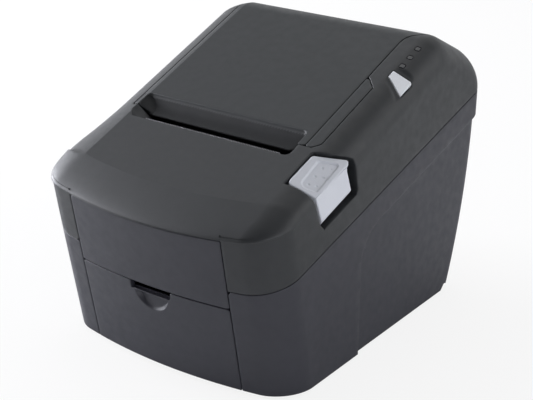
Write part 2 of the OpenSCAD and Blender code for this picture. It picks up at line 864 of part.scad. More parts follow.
module idler_gear() {
    color([0.85, 0.85, 0.82]) gear(idler_y, idler_z, idler_d, idler_pin_d + 2 * pin_gap);
}

module idler_pin() {
    color([0.7, 0.7, 0.72])
        bar(frame_x - frame_t, gear_x + gear_w + 0.5, idler_y, idler_z, idler_pin_d);
}

module motor_gear() {
    color([0.8, 0.7, 0.4]) {
        gear(motor_y, motor_z, motor_gear_d, motor_shaft_d);
        bar(frame_x - frame_t, gear_x + gear_w, motor_y, motor_z, motor_shaft_d);
    }
}

module feed_motor() {
    color([0.5, 0.5, 0.52])
        bar(frame_x - frame_t - motor_l, frame_x - frame_t - 0.02, motor_y, motor_z, motor_d);
}

// ---- Metal frame of the mechanism ----

seat_gap = 0.3;
frame_front_y = -62;
frame_rear_y = -14;
cross_y = -47;
frame_step_z = frame_z + 26;

module frame_side_section() {
    difference() {
        polygon([[frame_front_y, frame_step_z], [cross_y - 2, frame_z], [frame_rear_y, frame_z],
            [frame_rear_y, platen_z], [platen_y - 12, platen_z], [platen_y - 14, cutter_z],
            [frame_front_y, cutter_z]]);
        translate([platen_y, platen_z]) circle(d = bush_d + 2 * seat_gap);
        translate([head_axis[0], head_axis[1]]) circle(d = head_rod_d);
    }
}

module frame() {
    color([0.62, 0.63, 0.65]) difference() {
        union() {
            for (x = [-frame_x, frame_x - frame_t]) along_x(x, x + frame_t) frame_side_section();
            block([-frame_x + 0.5, cross_y - 2, frame_z],
                  [frame_x - 0.5, frame_rear_y, frame_z + frame_t]);
            // Cross wall in front of the heat sink
            block([pinion_x + cutter_motor_d / 2 + 2, frame_front_y, frame_step_z + 0.5],
                  [frame_x - 0.5, frame_front_y + frame_t, cutter_z - 2.5]);
        }
        bar(frame_x - 5, frame_x + 5, idler_y, idler_z, idler_pin_d);
        bar(frame_x - 5, frame_x + 5, motor_y, motor_z, motor_shaft_d + 2 * pin_gap);
        for (x = [-post_x, post_x], y = [post_front_y, post_rear_y])
            translate([x, y, frame_z - 1]) cylinder(r = screw_d / 2 + screw_gap, h = 9);
    }
}

module frame_screws() {
    for (x = [-post_x, post_x], y = [post_front_y, post_rear_y])
        color([0.6, 0.6, 0.62]) translate([x, y, frame_z + frame_t]) mirror([0, 0, 1])
            screw(8);
}

// ---- Print head ----

head_rod_d = 3;
contact = [platen_y, platen_z]
        + (platen_d / 2 + paper_gap) * [cos(head_dir), sin(head_dir)];
head_lower = 9;
head_axis = contact - (sink_t / 2 + head_t) * [cos(head_dir + 180), sin(head_dir + 180)]
          + head_lower * [cos(head_dir + 90), sin(head_dir + 90)];

// The frame of the head: its Y points at the platen and its Z runs up the head
module on_head() {
    translate([0, contact[0], contact[1]]) rotate([head_dir - 180, 0, 0]) children();
}

module print_head() {
    color([0.85, 0.86, 0.84]) on_head()
        block([-head_w / 2, -head_t, -head_lower], [head_w / 2, 0, head_h - head_lower]);
}

module heat_sink() {
    color([0.7, 0.71, 0.73]) difference() {
        on_head() difference() {
            block([-head_w / 2, -head_t - sink_t, -head_lower - 2.5],
                  [head_w / 2, -head_t - 0.02, head_h - head_lower]);
            for (k = [-4:4])
                block([8.6 * k - 2.6, -far, -head_lower + 2],
                      [8.6 * k + 2.6, -head_t - 3, far]);
        }
        bar(-far, far, head_axis[0], head_axis[1], head_rod_d + 2 * pin_gap);
    }
}

module head_rod() {
    color([0.7, 0.7, 0.72]) bar(-frame_x, frame_x, head_axis[0], head_axis[1], head_rod_d);
}

spring_w = 8;
spring_t = 0.5;

// Leaf spring between the cross wall and the heat sink
module head_spring() {
    sink_back = head_t + sink_t + 0.1;
    foot = contact - sink_back * [cos(head_dir + 180), sin(head_dir + 180)];
    wall_y = frame_front_y + frame_t + 0.02;
    color([0.72, 0.72, 0.7]) for (x = [-24, 16]) along_x(x, x + spring_w) polygon([
        [wall_y, frame_step_z + 4], [wall_y + spring_t, frame_step_z + 4],
        [wall_y + spring_t, frame_step_z + 14], foot + [-0.1, 0.1], foot + [-0.6, 0.5],
        [wall_y, frame_step_z + 15]]);
}

// ---- Cutter ----

blade_x0 = 12.5 - frame_x;
blade_x1 = frame_x - 4.5;
pinion_x = blade_x0 - pinion_d / 2 - gear_gap;
cutter_y = -56;
slide_gap = 0.3;

module cutter_table() {
    color([0.6, 0.61, 0.63]) difference() {
        block([-frame_x, frame_front_y, cutter_z], [frame_x, blade_edge_y - 2.5, blade_z - 0.1]);
        translate([pinion_x, cutter_y, 0]) cylinder(d = 2.5 + 2 * pin_gap, h = far);
    }
}

module cutter_blade() {
    z = blade_z + blade_t + slide_gap;
    color([0.78, 0.78, 0.8]) difference() {
        block([blade_x0, blade_edge_y - blade_depth, blade_z - 0.08],
              [blade_x1, blade_edge_y, z + blade_t]);
        block([blade_x0 - 1, blade_edge_y - 3, 0], [blade_x1 + 1, far, z]);
    }
}

module cutter_pinion() {
    color([0.8, 0.7, 0.4]) {
        translate([pinion_x, cutter_y, blade_z + 0.1]) cylinder(d = pinion_d, h = 1.9);
        translate([pinion_x, cutter_y, cutter_z - 0.5]) cylinder(d = 2.5, h = 2);
    }
}

module cutter_motor() {
    color([0.5, 0.5, 0.52]) translate([pinion_x, cutter_y, cutter_z - 26])
        cylinder(d = cutter_motor_d, h = 25.4);
}

module tear_bar() {
    teeth = 26;
    pitch = platen_w / teeth;
    color([0.75, 0.75, 0.77]) translate([0, slot_front + 1.1, 0]) rotate([90, 0, 0])
        linear_extrude(1) polygon(concat(
            [[-platen_w / 2, hood_wall_z + 0.2]],
            [for (k = [0:2 * teeth]) [-platen_w / 2 + k * pitch / 2,
                hood_wall_z + 4 + (k % 2 == 0 ? 0 : 1)]],
            [[platen_w / 2, hood_wall_z + 0.2]]));
}

// ---- Bin for the paper roll ----

bin_front_z = 100;

module bin_section(r) {
    polygon(concat(arc(roll_y, roll_z, r, 180, 360, 32),
        [[roll_y + r, roll_z + 60], [roll_y - r, roll_z + 60]]));
}

module roll_bin() {
    r = bin_d / 2;
    color([0.16, 0.16, 0.17]) difference() {
        union() {
            along_x(-bin_w / 2 - bin_wall, bin_w / 2 + bin_wall) bin_section(r + bin_wall);
            for (x = [-leg_x, leg_x], y = [roll_y - 34, roll_y + 20])
                translate([x, y, base_top]) cylinder(d = leg_d, h = roll_z - base_top);
        }
        along_x(-bin_w / 2, bin_w / 2) bin_section(r);
        above(bin_front_z);
    }
}

// ---- Lever, button and lamps ----

pad_depth = 0.6;
pad_x0 = 2.5;
pad_x1 = 9.5;
pad_s0 = 5;

module lever() {
    color([0.74, 0.75, 0.79]) difference() {
        union() {
            difference() {
                intersection() {
                    lever_block(0, 0, 0);
                    upper_form(0, foot_h);
                }
                intersection() {
                    upper_form(lever_t, foot_h);
                    lever_block(1, 5, 5);
                }
            }
            // Arm from the top plate back to the pin
            along_x(lever_arm_x, lever_arm_x + lever_t) polygon([
                [lever_y + 8, plane_z(lever_y + 8) - 5], [lever_axis_y, lever_axis_z - 3],
                [lever_axis_y, lever_axis_z + 2.9], [lever_axis_y - 12, lever_axis_z - 2.5],
                [lever_y + 17, plane_z(lever_y + 17) - 3.2],
                [lever_y + 14, plane_z(lever_y + 14) - 2.5]]);
            bar(lever_arm_x, lever_arm_x + lever_t, lever_axis_y, lever_axis_z, lever_pin_d + 3);
        }
        bar(-far, far, lever_axis_y, lever_axis_z, lever_pin_d + 2 * pin_gap);
        // Shallow pad for the finger with its dimples
        on_top(lever_y) translate([lever_left, 0, -pad_depth]) linear_extrude(9)
            polygon([[pad_x0, pad_s0], [pad_x1, pad_s0], [pad_x1, lever_s_left - 0.9],
                [pad_x0, lever_s_left - 4.9]]);
    }
}

module lever_pin() {
    color([0.7, 0.7, 0.72])
        bar(lever_arm_x - 3.3, lever_arm_x + lever_t + 2, lever_axis_y, lever_axis_z, lever_pin_d);
}

module feed_key() {
    color([0.85, 0.86, 0.9]) intersection() {
        on_key() translate([0, 0, shoulder_r - 3]) linear_extrude(6) key_section(0);
        shoulders(-0.4, crest_y, crest_z, top_slope);
    }
}

module control_board() {
    color([0.1, 0.35, 0.2]) on_top(0)
        block([lamp_x - 7, board_s0, board_w - board_t], [lamp_x + 4.4, board_s1, board_w]);
}

module lamp(n) {
    top = -shoulder_r + sqrt(pow(shoulder_r, 2) - pow(lamp_x - half_w + shoulder_r, 2));
    on_top(lamp_y + n * lamp_pitch) translate([lamp_x, 0, board_w])
        cylinder(d = lamp_d, h = top - board_w);
}

switch_w = 3.2;

module key_switch() {
    reach = shoulder_r - 3 - key_travel;
    color([0.2, 0.2, 0.2]) intersection() {
        on_key() translate([-switch_w / 2, -switch_w / 2, -20])
            cube([switch_w, switch_w, 20 + reach - 0.3]);
        on_top(0) block([lamp_x - 8.4, 0, board_w + 0.02], [lamp_x + 4, 60, 10]);
    }
}

// ---- Electronics ----

board_top = board_z + board_t;
socket_depth = 15;
can_d = 8;
can_h = 11;
chip_w = 20;
chip_y = 10;
inlet_x = -29.5;
inlet_w = 11.6;
drawer_x = -15.5;
drawer_w = 13;
tall_h = 13;
serial_x = 8;
serial_w = 30.8;
usb_x = 30.5;
usb_w = 12;
flat_h = 11;

module main_board() {
    color([0.1, 0.35, 0.2])
        block([-board_x, board_front_y, board_z], [board_x, plate_y - 0.5, board_top]);
}

module main_chip() {
    color([0.12, 0.12, 0.13])
        block([-chip_w / 2, chip_y, board_top], [chip_w / 2, chip_y + chip_w, board_top + 1.6]);
}

module capacitors() {
    for (x = [-26, -14, 22]) color([0.3, 0.3, 0.45])
        translate([x, board_front_y + 12, board_top]) cylinder(d = can_d, h = can_h);
}

module socket_hole(x, w, h, g) {
    block([x - w / 2 - g, plate_y - 5, board_top + 0.2 - g],
          [x + w / 2 + g, plate_y + 5, board_top + h + g]);
}

// A socket on the rear edge of the board, w wide and h high, with a mouth mw by mh
module socket(x, w, h, mw, mh, y1) {
    difference() {
        block([x - w / 2, plate_y - socket_depth, board_top], [x + w / 2, y1, board_top + h]);
        block([x - mw / 2, y1 - 9, board_top + (h - mh) / 2],
              [x + mw / 2, y1 + 1, board_top + (h + mh) / 2]);
    }
}

module power_inlet() {
    color([0.12, 0.12, 0.12]) difference() {
        block([inlet_x - inlet_w / 2, plate_y - socket_depth, board_top],
              [inlet_x + inlet_w / 2, plate_y + 3, board_top + tall_h]);
        translate([inlet_x, plate_y - 6, board_top + tall_h / 2]) rotate([-90, 0, 0])
            cylinder(d = 9, h = 20);
    }
}

module drawer_socket() {
    color([0.15, 0.15, 0.15]) socket(drawer_x, drawer_w, tall_h, 10, 8, plate_y + 2);
}

module serial_socket() {
    color([0.55, 0.56, 0.58]) socket(serial_x, serial_w, flat_h, 17, 8.4, plate_y + 4);
}

module usb_socket() {
    color([0.75, 0.75, 0.77]) socket(usb_x, usb_w, flat_h, 8.4, 7.6, plate_y + 2);
}

module rear_plate() {
    color([0.6, 0.61, 0.63]) difference() {
        block([-bay_x + seam, plate_y, base_top + seam], [bay_x - seam, plate_y + 1, bay_z - 0.3]);
        socket_hole(inlet_x, inlet_w, tall_h, 0.3);
        socket_hole(drawer_x, drawer_w, tall_h, 0.3);
        socket_hole(serial_x, serial_w, flat_h, 0.3);
        socket_hole(usb_x, usb_w, flat_h, 0.3);
    }
}

// ---- Power switch ----

rocker_w = 9;
rocker_y = bulkhead_y - 3;
rocker_pin_d = 2;

module rocker_frame() {
    color([0.12, 0.12, 0.12]) difference() {
        union() {
            block([rocker_x - 6, bulkhead_y - wall - 2, rocker_z - 9.8],
                  [rocker_x + 6, bulkhead_y + 10, rocker_z + 9.8]);
            block([rocker_x - 8, bulkhead_y - wall - 2, rocker_z - 12],
                  [rocker_x + 8, bulkhead_y - wall - 0.02, rocker_z + 12]);
        }
        block([rocker_x - rocker_w / 2 - 0.4, -far, rocker_z - 8],
              [rocker_x + rocker_w / 2 + 0.4, bulkhead_y + 8, rocker_z + 8]);
        bar(rocker_x - 5.4, rocker_x + 5.4, rocker_y, rocker_z, rocker_pin_d + 2 * pin_gap);
    }
}

module power_rocker() {
    tip = rocker_y - 4.7 - 7.2 * tan(rocker_travel);
    color([0.1, 0.1, 0.1]) {
        along_x(rocker_x - rocker_w / 2, rocker_x + rocker_w / 2) polygon([
            [rocker_y + 2, rocker_z - 5], [tip + 1.5, rocker_z - 7.2],
            [tip, rocker_z - 7.2], [rocker_y - 4.6, rocker_z],
            [rocker_y - 4.2, rocker_z + 7.2], [rocker_y - 3, rocker_z + 7.2],
            [rocker_y + 2, rocker_z + 5]]);
        bar(rocker_x - 5.2, rocker_x + 5.2, rocker_y, rocker_z, rocker_pin_d);
    }
}

lower_case();
base_plate();
feet();
base_screws();
upper_cover();
front_panel();
front_door();
door_pins();
paper_cover();
platen_carrier();
hinge_rod();
fixed_blade();
platen_shaft();
platen_rubber();
platen_bushes();
platen_gear();
idler_gear();
idler_pin();
feed_motor();
motor_gear();
frame();
frame_screws();
print_head();
heat_sink();
head_spring();
head_rod();
cutter_table();
cutter_blade();
cutter_pinion();
cutter_motor();
tear_bar();
roll_bin();
lever();
lever_pin();
feed_key();
control_board();
color([0.3, 0.9, 0.4]) lamp(2);  // lamp_power
color([0.9, 0.3, 0.2]) lamp(1);  // lamp_error
color([0.9, 0.6, 0.2]) lamp(0);  // lamp_paper
key_switch();
main_board();
main_chip();
capacitors();
rear_plate();
power_inlet();
drawer_socket();
serial_socket();
usb_socket();
rocker_frame();
power_rocker();
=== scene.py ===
import math

import bmesh
import bpy
import numpy as np
from mathutils import Matrix, Vector
from mathutils.geometry import delaunay_2d_cdt


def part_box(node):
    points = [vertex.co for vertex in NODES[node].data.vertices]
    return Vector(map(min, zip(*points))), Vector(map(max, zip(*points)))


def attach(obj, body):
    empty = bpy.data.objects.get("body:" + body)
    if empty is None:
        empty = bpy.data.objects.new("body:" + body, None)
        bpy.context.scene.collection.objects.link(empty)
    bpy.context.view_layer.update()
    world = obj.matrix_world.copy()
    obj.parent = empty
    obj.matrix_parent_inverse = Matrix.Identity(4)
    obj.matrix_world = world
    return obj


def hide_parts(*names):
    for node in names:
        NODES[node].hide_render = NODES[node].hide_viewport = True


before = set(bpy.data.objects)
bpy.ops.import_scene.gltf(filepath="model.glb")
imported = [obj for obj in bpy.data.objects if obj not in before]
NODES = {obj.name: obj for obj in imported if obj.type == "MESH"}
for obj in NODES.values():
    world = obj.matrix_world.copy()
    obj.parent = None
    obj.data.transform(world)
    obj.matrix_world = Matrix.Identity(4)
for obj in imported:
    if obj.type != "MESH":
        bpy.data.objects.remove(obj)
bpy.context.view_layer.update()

# ---- outer form
# All lengths of the forms are in millimetres; pieces are scaled to metres once.

# half width of the case, slope of the top, lean of the front
HALF_W = 72.5
SLOPE = math.radians(20.4)
PLANE_T = math.tan(SLOPE)
LEAN_T = math.tan(math.radians(10.1))
# height of the top's plane at y = 0, and anything higher than TOP_Z belongs to the top
PLANE_Z0 = 127.96
TOP_Z = 99
# front of the lower case and of the hood, height of the hood's lip in the middle and at its ends
FRONT_Y = -99.4
HOOD_Y = -100.42
LIP_Z = 84.6
LIP_END_Z = 90.5
FRONT_TOP_Z = 84.5
# radius of the bow across the front, lowest edge of the case
BOW_R = 280.0
BASE_Z = 1.5
# arcs of the side profile as (y, z, radius)
CREST = (57.27, 130.13, 18.0)
BACK = (73.7, 112.0, 26.8)
REAR = (-209.5, 112.0, 310.0)
# where the crest starts, and the outward normal of the slope behind it
CREST_A = math.radians(110.4)
NORMAL_A = math.radians(63.27)
# where the nose runs into the top, and how far its control point lies below the top's plane
NOSE_TOP_Y = -81.8
NOSE_DROP = 2.8
# seam between the upper and the lower case
SEAM_Z0 = 84.4
SEAM_T = 0.28486
SEAM_COS = 1 / math.sqrt(1 + SEAM_T**2)
# width of the rounding along the right and the left shoulder, and how deep it reaches
WIDE_R, WIDE_L = 14.5, 19.0
DEEP_R, DEEP_L, DEEP_NOSE = 14.5, 12.0, 8.5
# roundings of the front corners, the lip's ends and the rear corners
FRONT_R = 17.0
LIP_R = 17.2
REAR_R = 9.0
# how sharply the left shoulder starts
CREASE = 0.34
# offset of the lip's lower edge, where its rounding starts
LIP_EDGE = 0.45
# thickness of the shells
SKIN_T = 2.2


def plane_z(y):
    """Height of the top's plane."""
    return PLANE_Z0 + PLANE_T * y


def bow(x):
    """How far the front falls back at x."""
    return BOW_R - np.sqrt(BOW_R**2 - np.minimum(np.abs(x), 120.0) ** 2)


def part_z(y):
    """Height of the seam between the upper and the lower case."""
    return SEAM_Z0 + SEAM_T * y


def smooth(a, b, v):
    """Smooth step from 0 at a to 1 at b."""
    t = np.clip((v - a) / (b - a), 0, 1)
    return t * t * (3 - 2 * t)


def steps(n):
    """n - 1 equal steps from 0, the last one at 1."""
    return np.linspace(0, 1, n)[1:]


def between(a, b, k):
    return a + (b - a) * k


def curve(a, turn, b, t):
    """Points of a quadratic curve from a to b."""
    return (1 - t) ** 2 * a + 2 * t * (1 - t) * turn + t * t * b


def ray(angle):
    return np.array([math.cos(angle), math.sin(angle)])


def on_arc(arc, n):
    return np.array(arc[:2]) + arc[2] * n


def row(p, right, left, share, wide):
    """One row of the outer form: middle point, points on the right and left side planes, share of the
    bow in y and z, and widths of the rounding."""
    return tuple(p), tuple(right), tuple(left), share, wide


def front_rows():
    """Rows of the lower front and of the lip."""
    out = []
    b_end = float(bow(HALF_W))
    front_y = lambda z: FRONT_Y + (FRONT_TOP_Z - z) * LEAN_T
    for z in list(np.linspace(BASE_Z, LIP_Z - 0.5, 46)) + [LIP_Z - 0.28]:
        f = (z - BASE_Z) / (LIP_Z - BASE_Z)
        z1 = BASE_Z + f * (LIP_END_Z - BASE_Z)
        side = (front_y(z1) + b_end + FRONT_R, z1)
        out.append(row((front_y(z), z), side, side, (1.0, PLANE_T * f ** 6), (FRONT_R, FRONT_R)))
    y1 = front_y(LIP_END_Z) + b_end + FRONT_R
    for y0, z in ((FRONT_Y - 0.06, LIP_Z - 0.08), (FRONT_Y - 0.3, LIP_Z), (HOOD_Y + 0.42, LIP_Z),
                  (HOOD_Y + 0.2, LIP_Z + 0.06), (HOOD_Y + 0.06, LIP_Z + 0.2), (HOOD_Y, LIP_Z + LIP_EDGE)):
        side = (y1, LIP_END_Z + 0.6 * (z - LIP_Z + 0.28))
        out.append(row((y0, z), side, side, (1.0, PLANE_T), (LIP_R, LIP_R)))
    return out


def nose_rows():
    """Rows of the rounded nose, on one curve in the middle and one along the sides."""
    out = []
    b_end = float(bow(HALF_W))
    down = np.array([math.sin(SLOPE), -math.cos(SLOPE)])
    a = np.array([HOOD_Y, LIP_Z + LIP_EDGE])
    b = np.array([NOSE_TOP_Y, plane_z(NOSE_TOP_Y)])
    c = np.array([HOOD_Y, plane_z(HOOD_Y) - NOSE_DROP])
    y1 = FRONT_Y + (FRONT_TOP_Z - LIP_END_Z) * LEAN_T + b_end + FRONT_R
    top_in = np.array([NOSE_TOP_Y + b_end, plane_z(NOSE_TOP_Y) + b_end * PLANE_T]) + DEEP_NOSE * down
    p_lip = np.array([y1, LIP_END_Z + 0.5])
    y_in = y1 - 0.2
    corner = np.array([y_in, top_in[1] + (y_in - top_in[0]) * PLANE_T])
    for q in steps(27):
        side = curve(p_lip, corner, top_in, q)
        k = float(smooth(0, 1, q))
        wide = (between(LIP_R, WIDE_R, k), between(LIP_R, WIDE_L, k))
        out.append(row(curve(a, c, b, q), side, side, (1.0, PLANE_T), wide))
    return out


def top_rows():
    """Rows of the sloping top, whose bow dies out behind the nose. They lie closer round the feed key."""
    out = []
    b_end = float(bow(HALF_W))
    down = np.array([math.sin(SLOPE), -math.cos(SLOPE)])
    fine = np.concatenate([np.arange(NOSE_TOP_Y, 15.5, 1.6), np.arange(15.5, 50.5, 0.6), [51.0]])
    for y in fine[1:]:
        w = 1 - float(smooth(NOSE_TOP_Y, -48, y))
        k = float(smooth(NOSE_TOP_Y, -30, y))
        p = np.array([y, plane_z(y)])
        start = p + np.array([b_end * w, b_end * w * PLANE_T])
        sides = [start + between(DEEP_NOSE, deep, k) * down for deep in (DEEP_R, DEEP_L)]
        out.append(row(p, *sides, (w, w * PLANE_T), (WIDE_R, WIDE_L)))
    return out


def back_row(p, n, k=0.0):
    """A row of the back, whose sides lie in along -n. k is how far it has narrowed to the rear corners."""
    deep = [between(d, REAR_R, k) for d in (DEEP_R, DEEP_L)]
    wide = [between(w, REAR_R, k) for w in (WIDE_R, WIDE_L)]
    return row(p, p - deep[0] * n, p - deep[1] * n, (0, 0), wide)


def back_rows():
    """Rows of the crest, the slope behind it, the upper back and the rear wall."""
    out = []
    for angle in np.linspace(CREST_A, NORMAL_A, 13)[1:]:
        n = ray(angle)
        out.append(back_row(on_arc(CREST, n), n))
    n = ray(NORMAL_A)
    for q in steps(14):
        out.append(back_row(between(on_arc(CREST, n), on_arc(BACK, n), q), n))
    for q in steps(17):
        n = ray(NORMAL_A * (1 - q))
        out.append(back_row(on_arc(BACK, n), n, float(smooth(0, 1, q))))
    foot = -math.asin((REAR[1] - BASE_Z) / REAR[2])
    for q in steps(40):
        n = ray(foot * q)
        p = on_arc(REAR, n)
        p1 = p - REAR_R * n
        if q > 0.9:
            p1 = np.array([p1[0], max(p1[1], BASE_Z)])
        out.append(row(p, p1, p1, (0, 0), (REAR_R, REAR_R)))
    return out


def rounding(t, crease):
    """Drop across a rounding, from 0 at its start to 1 at its end, with a crease at its start."""
    t = np.clip(t, 0, 1)
    return crease * t + (1 - crease) * (1 - np.sqrt(np.maximum(0, 1 - t * t)))


def columns(wide, inner, left_phis, right_phis):
    """Values of x along one row, from the left side to the right one."""
    xr, xl = HALF_W - wide[0], HALF_W - wide[1]
    line = [-(xl + wide[1] * math.sin(p)) for p in left_phis[::-1]]
    line += list(np.linspace(-xl, xr, inner + 1))
    return line + [xr + wide[0] * math.sin(p) for p in right_phis]


def fill(points, n, eps):
    """Triangulates points in a plane, the first n of which are its outline. Returns the points, the ones
    given that each stands for, and the triangles."""
    edges = [(i, (i + 1) % n) for i in range(n)]
    found, _, faces, source, _, _ = delaunay_2d_cdt([Vector(p) for p in points], edges, [], 1, eps)
    return found, source, [(f[0], f[j], f[j + 1]) for f in faces for j in range(1, len(f) - 1)]


def side_face(V, ring, sign):
    """Fills the flat side inside a ring of vertices: the new vertices and the triangles."""
    pts = V[ring][:, 1:]
    grid = np.array([(y, z) for y in np.arange(-70, 96, 4.0) for z in np.arange(5, 132, 4.0)])
    grid = grid[inside(grid, pts) & (dist_poly(grid, pts) > 2.0)]
    foot = [(y, BASE_Z) for y in np.linspace(pts[-1][0], pts[0][0], 40)[1:-1]]
    found, source, faces = fill([*pts, *foot, *grid], len(pts) + len(foot), 1e-5)
    index, extra = [], []
    for k, v in enumerate(found):
        old = [i for i in source[k] if i < len(pts)]
        if old:
            index.append(ring[old[0]])
        else:
            index.append(len(V) + len(extra))
            extra.append((sign * HALF_W, v[0], v[1]))
    return np.array(extra), np.array([[index[v] for v in f[::sign]] for f in faces])


def outer_mesh():
    """Vertices and triangles of the whole outer skin, sides included."""
    form = front_rows() + nose_rows() + top_rows() + back_rows()
    inner = 64
    left_phis = np.radians([1.0, 3.5, 7, 12, 18, 25, 33, 41, 49, 57, 65, 73, 80, 85.5, 90])
    right_phis = np.radians(np.concatenate([[1.0], np.arange(3, 66, 2.6), [69, 73, 77, 81, 85, 87.5, 90]]))
    be = float(bow(HALF_W))
    verts = []
    for p0, right, left, share, wide in form:
        ye, ze = p0[0] + be * share[0], p0[1] + be * share[1]
        for x in columns(wide, inner, left_phis, right_phis):
            b = float(bow(x))
            y, z = p0[0] + b * share[0], p0[1] + b * share[1]
            side, r = (right, wide[0]) if x >= 0 else (left, wide[1])
            crease = CREASE if (x < 0 and p0[1] > 97) else 0.0
            h = float(rounding((abs(x) - (HALF_W - r)) / r, crease))
            verts.append((x, y + (side[0] - ye) * h, z + (side[1] - ze) * h))
    V = np.array(verts)
    n_col = inner + 1 + len(left_phis) + len(right_phis)
    idx = np.arange(len(form) * n_col).reshape(len(form), n_col)
    a, b, c, d = idx[:-1, :-1].ravel(), idx[:-1, 1:].ravel(), idx[1:, 1:].ravel(), idx[1:, :-1].ravel()
    T = np.concatenate([np.stack([a, b, c], 1), np.stack([a, c, d], 1)])
    for col, sign in ((n_col - 1, 1), (0, -1)):
        extra, tris = side_face(V, idx[:, col], sign)
        V = np.concatenate([V, extra])
        T = np.concatenate([T, tris])
    return V, T


def inside(p, poly):
    """Which points lie inside a polygon."""
    x, y = p[:, 0], p[:, 1]
    res = np.zeros(len(p), bool)
    n = len(poly)
    for i in range(n):
        x0, y0 = poly[i]
        x1, y1 = poly[(i + 1) % n]
        cond = (y0 > y) != (y1 > y)
        with np.errstate(divide="ignore", invalid="ignore"):
            cross = x < (x1 - x0) * (y - y0) / (y1 - y0 + 1e-30) + x0
        res ^= cond & cross
    return res


def dist_poly(p, poly):
    """Distance to the outline of a polygon."""
    best = np.full(len(p), 1e9)
    n = len(poly)
    for i in range(n):
        a, b = np.array(poly[i], float), np.array(poly[(i + 1) % n], float)
        ab = b - a
        t = np.clip(((p - a) @ ab) / max(ab @ ab, 1e-12), 0, 1)
        d = np.linalg.norm(p - (a + t[:, None] * ab), axis=1)
        best = np.minimum(best, d)
    return best


def sd_poly(p, poly):
    """Signed distance to a polygon in a plane, negative inside."""
    d = dist_poly(p, poly)
    return np.where(inside(p, poly), -d, d)


# ---- mesh cutting


def split(V, T, g, levels):
    """Splits the triangles along g = level, for one level after the other."""
    for level in levels:
        V, T = split_once(V, T, g, level)
    return V, T


def split_once(V, T, g, level):
    f = g(V) - level
    f = np.where(np.abs(f) < 1e-5, 1e-5, f)
    s = f > 0
    ts = s[T]
    n_pos = ts.sum(1)
    cut = (n_pos == 1) | (n_pos == 2)
    if not cut.any():
        return V, T
    C = T[cut]
    E = np.concatenate([C[:, [0, 1]], C[:, [1, 2]], C[:, [2, 0]]])
    cross = s[E[:, 0]] != s[E[:, 1]]
    E = np.sort(E[cross], axis=1)
    U = np.unique(E, axis=0)
    lo, hi = V[U[:, 0]], V[U[:, 1]]
    fl, fh = f[U[:, 0]].copy(), f[U[:, 1]].copy()
    ta, tb = np.zeros(len(U)), np.ones(len(U))
    # false position with a guard, until the crossing of each edge is found
    for _ in range(14):
        t = ta - fl * (tb - ta) / (fh - fl)
        t = np.clip(t, ta + 0.02 * (tb - ta), tb - 0.02 * (tb - ta))
        fm = g(lo + (hi - lo) * t[:, None]) - level
        same = (fm > 0) == (fl > 0)
        ta, fl = np.where(same, t, ta), np.where(same, fm, fl)
        tb, fh = np.where(same, tb, t), np.where(same, fh, fm)
    t = 0.5 * (ta + tb)
    mid = lo + (hi - lo) * t[:, None]
    base = len(V)
    V2 = np.concatenate([V, mid])
    key = {(int(a), int(b)): base + k for k, (a, b) in enumerate(U)}
    cut_at = lambda a, b: key[(a, b) if a < b else (b, a)]
    parts = []
    for tri in C:
        a, b, c = (int(v) for v in tri)
        k = int(s[a]) + int(s[b]) + int(s[c])
        lone = k == 1
        # rotate so that a is the lone vertex
        if s[b] == lone and s[a] != lone:
            a, b, c = b, c, a
        elif s[c] == lone and s[a] != lone:
            a, b, c = c, a, b
        ab, ac = cut_at(a, b), cut_at(a, c)
        parts += [(a, ab, ac), (ab, b, c), (ab, c, ac)]
    return V2, np.concatenate([T[~cut], np.array(parts)])


def keep(V, T, mask):
    """The mesh of the triangles in mask alone."""
    T = T[mask]
    used, inv = np.unique(T, return_inverse=True)
    return V[used], inv.reshape(-1, 3)


def normals(V, T):
    """Vertex normals, weighted by area."""
    n = np.cross(V[T[:, 1]] - V[T[:, 0]], V[T[:, 2]] - V[T[:, 0]])
    out = np.zeros_like(V)
    for k in range(3):
        np.add.at(out, T[:, k], n)
    ln = np.linalg.norm(out, axis=1)
    return out / np.maximum(ln, 1e-12)[:, None]


def fillet_drop(d, r):
    """Drop of a round edge of radius r at the distance d from the edge."""
    d = np.clip(d, 0, r)
    return r - np.sqrt(np.maximum(0, r * r - (r - d) ** 2))


def open_edges(T):
    """The directed edges that only one triangle has."""
    E = np.concatenate([T[:, [0, 1]], T[:, [1, 2]], T[:, [2, 0]]])
    _, idx, cnt = np.unique(np.sort(E, axis=1), axis=0, return_index=True, return_counts=True)
    return E[idx[cnt == 1]]


def walls(edge, count, base):
    """Triangles from open edges down through count rings of new vertices, which start at base."""
    at = {int(v): base + k for k, v in enumerate(np.unique(edge))}
    down = lambda v: [v] + [at[v] + k * len(at) for k in range(count)]
    out = []
    for a, b in edge:
        p, q = down(int(a)), down(int(b))
        for k in range(count):
            out += [(q[k], p[k], p[k + 1]), (q[k], p[k + 1], q[k + 1])]
    return np.array(out)


